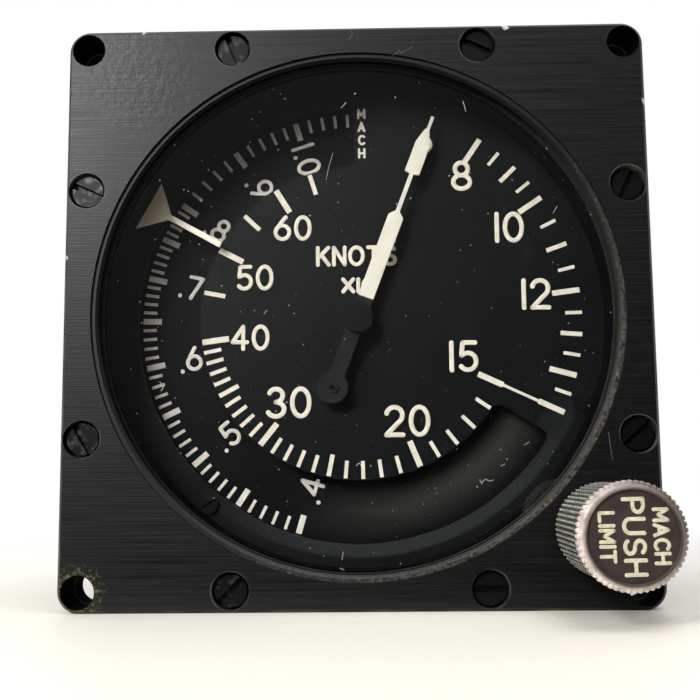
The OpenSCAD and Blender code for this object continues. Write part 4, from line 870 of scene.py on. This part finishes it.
# %% Dial numbers and words
LARGE_H, LARGE_W, SMALL_H, SMALL_W = 4.07, 0.72, 3.35, 0.62
LARGE = {"8": (15.89, 21.94), "10": (22.89, 13.86), "12": (26.60, 3.63), "15": (15.62, -5.60),
         "20": (7.07, -15.09), "30": (-10.43, -12.20)}
SMALL = {"6": (10.25, 27.5), "40": (-16.16, -2.43), "50": (-15.48, 6.66), "60": (-9.76, 14.20)}
COLUMN_X, COLUMN_TOP, COLUMN_STEP, COLUMN_H, COLUMN_W = 0.81, 31.9, 2.07, 1.3, 0.34
WORD_W = 0.6
large = [stroke for text, at in LARGE.items() for stroke in written(text, at, LARGE_H)]
small = [stroke for text, at in SMALL.items() for stroke in written(text, at, SMALL_H)]
words = written("KNOTS", (-0.17, 9.79), 2.6, width=11.6) + written("X10", (0.1, 5.3), 1.85, width=4.6)
column = []
for i, sign in enumerate("MACH"):
    column += written(sign, (COLUMN_X, COLUMN_TOP - COLUMN_STEP * i), COLUMN_H)
printed = [("dial_numbers_large", large, LARGE_W), ("dial_numbers_small", small, SMALL_W),
           ("dial_words", words, WORD_W), ("dial_column", column, COLUMN_W)]
for name, strokes, stroke_w in printed:
    paint_strokes(name, strokes, stroke_w, DIAL_Y, print_cream, "case")

# %% [markdown]
# ## Numbers of the turning disc
# The disc's numbers are read from the rim towards the middle, so each one is turned to its own place. They
# ride on the disc and turn with it.

# %% Disc numbers
TENTHS_R, DOT_R, WHOLE_R, DISC_NUMBER_H, DISC_NUMBER_W = 25.6, 27.6, 28.9, 3.2, 0.6


def on_disc(text, clock, radius):
    """A number on the disc at a clock angle and a radius, with its foot turned anticlockwise."""
    a = math.radians(clock)
    return written(text, (radius * math.sin(a), radius * math.cos(a)), DISC_NUMBER_H, clock + 90)


disc_numbers = []
for value, clock in DISC_SCALE[:-1]:
    whole, tenths = divmod(round(value * 10), 10)
    disc_numbers += on_disc(str(tenths), clock, TENTHS_R) + on_disc(".", clock, DOT_R)
    if whole:
        disc_numbers += on_disc(str(whole), clock, WHOLE_R)
paint_strokes("disc_numbers", disc_numbers, DISC_NUMBER_W, DISC_Y, print_shade_grey, "mach_scale")

# %% [markdown]
# ## Finish of the knob
# The knob is turned from aluminium and anodised black. Handling has worn its rim and the tips of its knurl
# to bare metal with a pinkish tint. That pale metal is painted stronger towards the lower left, where the
# light falls: partly wear, partly painted highlight. Its dished face has a brown-black lacquer.

# %% Knob finishes
legend_low, legend_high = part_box("knob_legend_disc")
KNOB_X, KNOB_Z = (legend_low.x + legend_high.x) / 2, (legend_low.z + legend_high.z) / 2
KNOB_FRONT, KNOB_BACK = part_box("knob")[0].y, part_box("knob")[1].y
RIM_T, RIM_R, BODY_R, POINT_R = 2.2 * MM, 6.6 * MM, 5.85 * MM, 6.2 * MM
# Painted highlight: the worn pale metal grows towards the lower left, where the light falls.
WEAR_AND_LIGHT_WAY, WEAR_AND_LIGHT_FROM, WEAR_AND_LIGHT_FULL = (-0.8, 0, -0.6), -6 * MM, 1.5 * MM
knob_metal, shader, place = finish("worn_black_anodised_knob", "#34322f", 0.45, 0.25)
deep = along(place, INWARD)
front = span(deep, KNOB_FRONT + RIM_T - 0.1 * MM, KNOB_FRONT + RIM_T + 0.3 * MM, 1, 0)
centred = add("ShaderNodeVectorMath", {0: place, 1: (KNOB_X, 0, KNOB_Z)}, operation="SUBTRACT")
around = front_only(centred)
reach = distance(around)
patch = span(noise(place, 1.5 * MM, 5), 0.3, 0.55, 0.45, 1)
# Partly wear and partly painted highlight, strongest at the lower left.
worn_and_lit = along(around, WEAR_AND_LIGHT_WAY)
worn_and_lit = span(worn_and_lit, WEAR_AND_LIGHT_FROM, WEAR_AND_LIGHT_FULL, 0.12, 1)
patch = calc("MULTIPLY", patch, worn_and_lit)
rim = calc("MULTIPLY", front, span(reach, 5.6 * MM, 6.05 * MM))
rim = calc("MULTIPLY", rim, patch)
tips = span(reach, BODY_R + 0.08 * MM, POINT_R, 0, 0.75)
tips = calc("MULTIPLY", tips, patch)
shade = mixed(tips, "#3c3c38", "#d4d4c4")
shade = mixed(front, shade, "#5b4c47")
shade = mixed(rim, shade, "#f3e6df")
feed(shader, "Base Color", shade)

legend_brown, shader, place = finish("brown_black_lacquer", "#2a2120", 0.4)
shade = mixed(noise(place, 1.6 * MM, 6), "#2a2020", "#4b3e3d")
feed(shader, "Base Color", shade)
frame["nodes"]["knob_legend_disc"].data.materials.clear()
frame["nodes"]["knob_legend_disc"].data.materials.append(legend_brown)

# %% [markdown]
# ## Knurl and rim of the knob
# A knurl goes round the knob's body for grip, and small lobes go round its rim. One tree makes both: it
# puts a given shape on rings of points round the knob's axis, in one row or in several, and turns each one
# outwards.

# %% The tree that puts a shape on rings
ring_tree, given = new_tree("ring_of_points", {
    "Count": "Int", "Radius": "Float", "Rows": "Int", "Row gap": "Float", "Centre": "Vector",
    "Metal": "Material"})
flat_ring = add("GeometryNodeMeshCircle", {"Vertices": given["Count"], "Radius": given["Radius"]})
upright = add("GeometryNodeTransform", {"Geometry": flat_ring, "Rotation": (math.pi / 2, 0, 0)})
index = add("GeometryNodeInputIndex", tree=ring_tree)
share = calc("DIVIDE", 2 * math.pi, given["Count"])
angle = calc("MULTIPLY", index, share)
angle = calc("SUBTRACT", math.pi / 2, angle)
angles = add("ShaderNodeCombineXYZ", {1: angle})
spin = add("FunctionNodeEulerToRotation", {0: angles})
one_ring = on_points(upright, given["Geometry"], Rotation=spin)
step = add("ShaderNodeCombineXYZ", {1: given["Row gap"]})
rows = add("GeometryNodeMeshLine", {
    "Count": given["Rows"], "Start Location": given["Centre"], "Offset": step})
close_tree(on_points(rows, one_ring), given["Metal"])

# %% Knurl
FLUTES, ROW_GAP = 56, 1.25 * MM
KNURL_FROM, KNURL_TO = KNOB_FRONT + RIM_T + 0.45 * MM, KNOB_BACK - 0.4 * MM
KNURL_ROWS = round((KNURL_TO - KNURL_FROM) / ROW_GAP)
POINT_HALF, POINT_ROOT, POINT_H = math.pi * BODY_R / FLUTES, -0.05 * MM, POINT_R - BODY_R
FOOT, CREST = ROW_GAP * 0.38, ROW_GAP * 0.16
foot = [(-POINT_HALF, -FOOT), (POINT_HALF, -FOOT), (POINT_HALF, FOOT), (-POINT_HALF, FOOT)]
roof = [(x, y, POINT_ROOT) for x, y in foot] + [(0, -CREST, POINT_H), (0, CREST, POINT_H)]
roof_faces = [(3, 2, 1, 0), (0, 1, 4), (1, 2, 5, 4), (2, 3, 5), (3, 0, 4, 5)]
point_mesh = bpy.data.meshes.new("knurl_point")
point_mesh.from_pydata(roof, [], roof_faces)
knurl = run_tree("knob_knurl", point_mesh, ring_tree, {
    "Count": FLUTES, "Radius": BODY_R, "Rows": KNURL_ROWS, "Row gap": ROW_GAP,
    "Centre": (KNOB_X, KNURL_FROM, KNOB_Z), "Metal": knob_metal})

# %% Rim lobes
LOBE_R, LOBE_BACK, LOBE_SIDES, LOBE_SUNK = 0.36 * MM, 1.45 * MM, 8, 0.02 * MM
LOBE_LEVELS = [(-0.7, 0.55), (-0.5, 1), (0.5, 1), (0.7, 0.6)]


def circle(radius, steps):
    """Points round a circle, as pairs that start at zero and the radius."""
    turns = [2 * math.pi * i / steps for i in range(steps)]
    return [(radius * math.sin(t), radius * math.cos(t)) for t in turns]


def pairs(rings, steps):
    """Pairs of neighbouring points round each of several rings, which follow each other in one list."""
    around = [(i, (i + 1) % steps) for i in range(steps)]
    return [(ring * steps + i, ring * steps + j) for ring in range(rings) for i, j in around]


lobe_points = [(x, y * MM, z) for y, wide in LOBE_LEVELS for z, x in circle(LOBE_R * wide, LOBE_SIDES)]
last = range(len(lobe_points) - LOBE_SIDES, len(lobe_points))
lobe_faces = [tuple(range(LOBE_SIDES)), tuple(reversed(last))]
lobe_faces += [(a, a + LOBE_SIDES, b + LOBE_SIDES, b) for a, b in pairs(len(LOBE_LEVELS) - 1, LOBE_SIDES)]
lobe_mesh = bpy.data.meshes.new("rim_lobe")
lobe_mesh.from_pydata(lobe_points, [], lobe_faces)
lobes = run_tree("knob_rim", lobe_mesh, ring_tree, {
    "Count": FLUTES, "Radius": RIM_R - LOBE_R - LOBE_SUNK, "Rows": 1, "Row gap": 0.0,
    "Centre": (KNOB_X, KNOB_FRONT + LOBE_BACK, KNOB_Z), "Metal": knob_metal})

# %% [markdown]
# ## Turned body of the knob
# The knob's profile is a list of radii and depths. It starts and ends on the axis and is spun into a closed
# body, which takes the place of the plain knob.

# %% Turned body
DISH_R, DISH_FLOOR = 5.4 * MM, KNOB_FRONT + 0.8 * MM
SOCKET_R, SOCKET_FLOOR = 3.9 * MM, KNOB_BACK - 7.2 * MM
RIM_BODY_R, TURN_STEPS = 6.24 * MM, 112
ROUNDING = [(0.0, 0.18), (0.1, 0.0), (0.25, 0.06), (0.5, 0.35), (0.7, 0.75)]
knob_profile = [(0, DISH_FLOOR), (DISH_R, DISH_FLOOR)]
knob_profile += [(DISH_R + out * MM, KNOB_FRONT + deep * MM) for out, deep in ROUNDING]
knob_profile += [(RIM_BODY_R, KNOB_FRONT + 1.2 * MM), (RIM_BODY_R, KNOB_FRONT + RIM_T - 0.1 * MM)]
knob_profile += [(BODY_R, KNOB_FRONT + RIM_T + 0.15 * MM), (BODY_R, KNOB_BACK - 0.2 * MM)]
knob_profile += [(BODY_R - 0.2 * MM, KNOB_BACK), (SOCKET_R, KNOB_BACK)]
knob_profile += [(SOCKET_R, SOCKET_FLOOR), (0, SOCKET_FLOOR)]


def turned(name, profile, centre, steps):
    """A closed solid of revolution round a line along Y, from a profile that starts and ends on that line."""
    inner = profile[1:-1]
    points = [(centre[0] + x, y, centre[1] + z) for r, y in inner for x, z in circle(r, steps)]
    faces = [(a, b, b + steps, a + steps) for a, b in pairs(len(inner) - 1, steps)]
    last_ring = (len(inner) - 1) * steps
    points.append((centre[0], profile[0][1], centre[1]))
    faces += [(b, a, len(points) - 1) for a, b in pairs(1, steps)]
    points.append((centre[0], profile[-1][1], centre[1]))
    faces += [(last_ring + a, last_ring + b, len(points) - 1) for a, b in pairs(1, steps)]
    mesh = bpy.data.meshes.new(name)
    mesh.from_pydata(points, [], faces)
    return mesh


knob_mesh = turned("knob_turned", knob_profile, (KNOB_X, KNOB_Z), TURN_STEPS)
knob_mesh.materials.append(knob_metal)
knob_body = bpy.data.objects.new("knob_turned", knob_mesh)
scene.collection.objects.link(knob_body)
for piece in (knob_body, knurl, lobes):
    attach(piece, "knob")
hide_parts("knob")
print("knob_turned faces:", len(knob_mesh.polygons))

# %% [markdown]
# ## The spring behind the knob
# A push on the knob shortens its return spring, which stands on the bush in the bezel. A copy of the spring
# with a mesh of its own rides on the case and takes the place of the original.

# %% Return spring
coil = bpy.data.objects.new("knob_spring_coil", frame["nodes"]["knob_spring"].data.copy())
scene.collection.objects.link(coil)
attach(coil, "case")
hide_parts("knob_spring")
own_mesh(coil)

# %% [markdown]
# ## Words on the knob
# The knob's face tells what it does. The three lines are turned a quarter to the right, because the knob
# happened to stand that way, and their paint has yellowed.

# %% Knob legend
LEGEND_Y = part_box("knob_legend_disc")[0].y
LEGEND_TURN = 89.2
PUSH_W, SMALL_LINE_W = 0.5, 0.44


def legend_line(text, out, height, width):
    """One line of the legend, with its middle a distance to the right of the knob's axis, in mm."""
    a = math.radians(LEGEND_TURN - 90)
    at = (KNOB_X / MM + out * math.cos(a), KNOB_Z / MM - out * math.sin(a))
    return written(text, at, height, LEGEND_TURN, width)


push_line = legend_line("PUSH", 0.1, 2.3, 8.7)
small_lines = legend_line("MACH", 3.25, 1.6, 6.2) + legend_line("LIMIT", -3.05, 1.6, 5.6)
paint_strokes("knob_push_word", push_line, PUSH_W, LEGEND_Y, legend_cream, "knob")
paint_strokes("knob_small_words", small_lines, SMALL_LINE_W, LEGEND_Y, legend_cream, "knob")

# %% [markdown]
# ## Dust on the window
# Fine dust lies on the glass. Points are scattered over a disc with a fixed seed, and each gets a flat
# grain of its own size. A random number to the third power makes large grains rare.

# %% Dust
GLASS_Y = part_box("window_glass")[0].y
DUST_R, DUST_PER_M2, DUST_SEED, DUST_RIM_STEPS = 36.0 * MM, 75000, 7, 64
GRAIN_LARGEST, GRAIN_LEAST, GRAIN_FLAT, GRAIN_RARE = 0.125 * MM, 0.25, 0.25, 3.0
dust_grey = matte_paint("grey_dust", "#94948f", "#cbcac3", 0.9, 0.3 * MM)
dust_tree, given = new_tree("dust", {
    "Density": "Float", "Seed": "Int", "Largest": "Float", "Dust": "Material"})
spots = add("GeometryNodeDistributePointsOnFaces", {
    "Mesh": given["Geometry"], "Density": given["Density"], "Seed": given["Seed"]})
chance = add("FunctionNodeRandomValue", {2: 0.0, 3: 1.0, "Seed": given["Seed"]}, 1, data_type="FLOAT")
rare = calc("POWER", chance, GRAIN_RARE)
grain_size = span(rare, start=GRAIN_LEAST, end=1.0)
grain_size = calc("MULTIPLY", grain_size, given["Largest"])
thin = calc("MULTIPLY", grain_size, GRAIN_FLAT)
flat_size = add("ShaderNodeCombineXYZ", {0: grain_size, 1: thin, 2: grain_size})
grain = add("GeometryNodeMeshIcoSphere", {"Radius": 1.0, "Subdivisions": 1}, tree=dust_tree)
close_tree(on_points(spots, grain, Scale=flat_size), given["Dust"])

dust_field = bpy.data.meshes.new("dust_field")
rim_points = [(x, GLASS_Y, z) for x, z in circle(DUST_R, DUST_RIM_STEPS)]
dust_field.from_pydata(rim_points, [], [tuple(range(DUST_RIM_STEPS))])
dust = run_tree("window_dust", dust_field, dust_tree, {
    "Density": DUST_PER_M2, "Seed": DUST_SEED, "Largest": GRAIN_LARGEST, "Dust": dust_grey})
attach(dust, "case")

# %% [markdown]
# ## Lint and scratches
# A few fibres lie on the glass, and one short scratch in it catches the light. Knocks have scored the bezel
# too. All of them are thin strokes: grey ones on the glass, and bare metal on the front of the bezel.

# %% Lint and scratches
SCRATCH_W, LINT_W, SCORE_W = 0.05, 0.08, 0.07
SCRATCH = [[(-3.27, 22.98), (-3.9, 20.9), (-4.3, 19.02)]]
LINT = [[(15.5, 30.4), (15.7, 29.7), (15.9, 28.8)], [(-2.06, 29.7), (-1.63, 30.1), (-1.33, 30.5)],
        [(-13.17, -0.26), (-12.74, 0.3)], [(-27.8, -9.7), (-27.2, -10.3), (-27.6, -11.0)],
        [(16.75, -24.16), (17.4, -23.6), (17.85, -23.9), (18.5, -23.75)], [(16.6, -23.7), (16.9, -24.3)],
        [(22.9, -19.0), (23.5, -18.6)], [(19.55, -21.85), (20.1, -21.6)],
        [(-0.42, -21.66), (0, -21.26), (0.28, -21.53)], [(27.9, 13.7), (28.5, 14.7)],
        [(-2.75, -35.5), (-2.2, -35.75)], [(-2.46, -34.4), (-2.3, -33.35)]]
SCORES = [[(-34.9, 36.2), (-33.6, 37.4), (-32.2, 38.7), (-31.5, 40.3)],
          [(-36.4, 36.6), (-35.4, 38.1), (-35.1, 39.3)], [(-0.9, 39.3), (-0.25, 40.3), (-0.65, 40.95)],
          [(5.5, 36.9), (6.5, 37.6)], [(6.55, 37.2), (8.3, 38.15)],
          [(34.2, -17.4), (34.35, -19.2), (34.6, -21.1)]]
bare_metal = matte_paint("scored_aluminium", "#4e4d4a", "#7c7b76", 0.45, 0.6 * MM)
paint_strokes("window_scratch", SCRATCH, SCRATCH_W, GLASS_Y, dust_grey, "case")
paint_strokes("window_lint", LINT, LINT_W, GLASS_Y, dust_grey, "case")
paint_strokes("bezel_scratches", SCORES, SCORE_W, BEZEL_Y, bare_metal, "case")
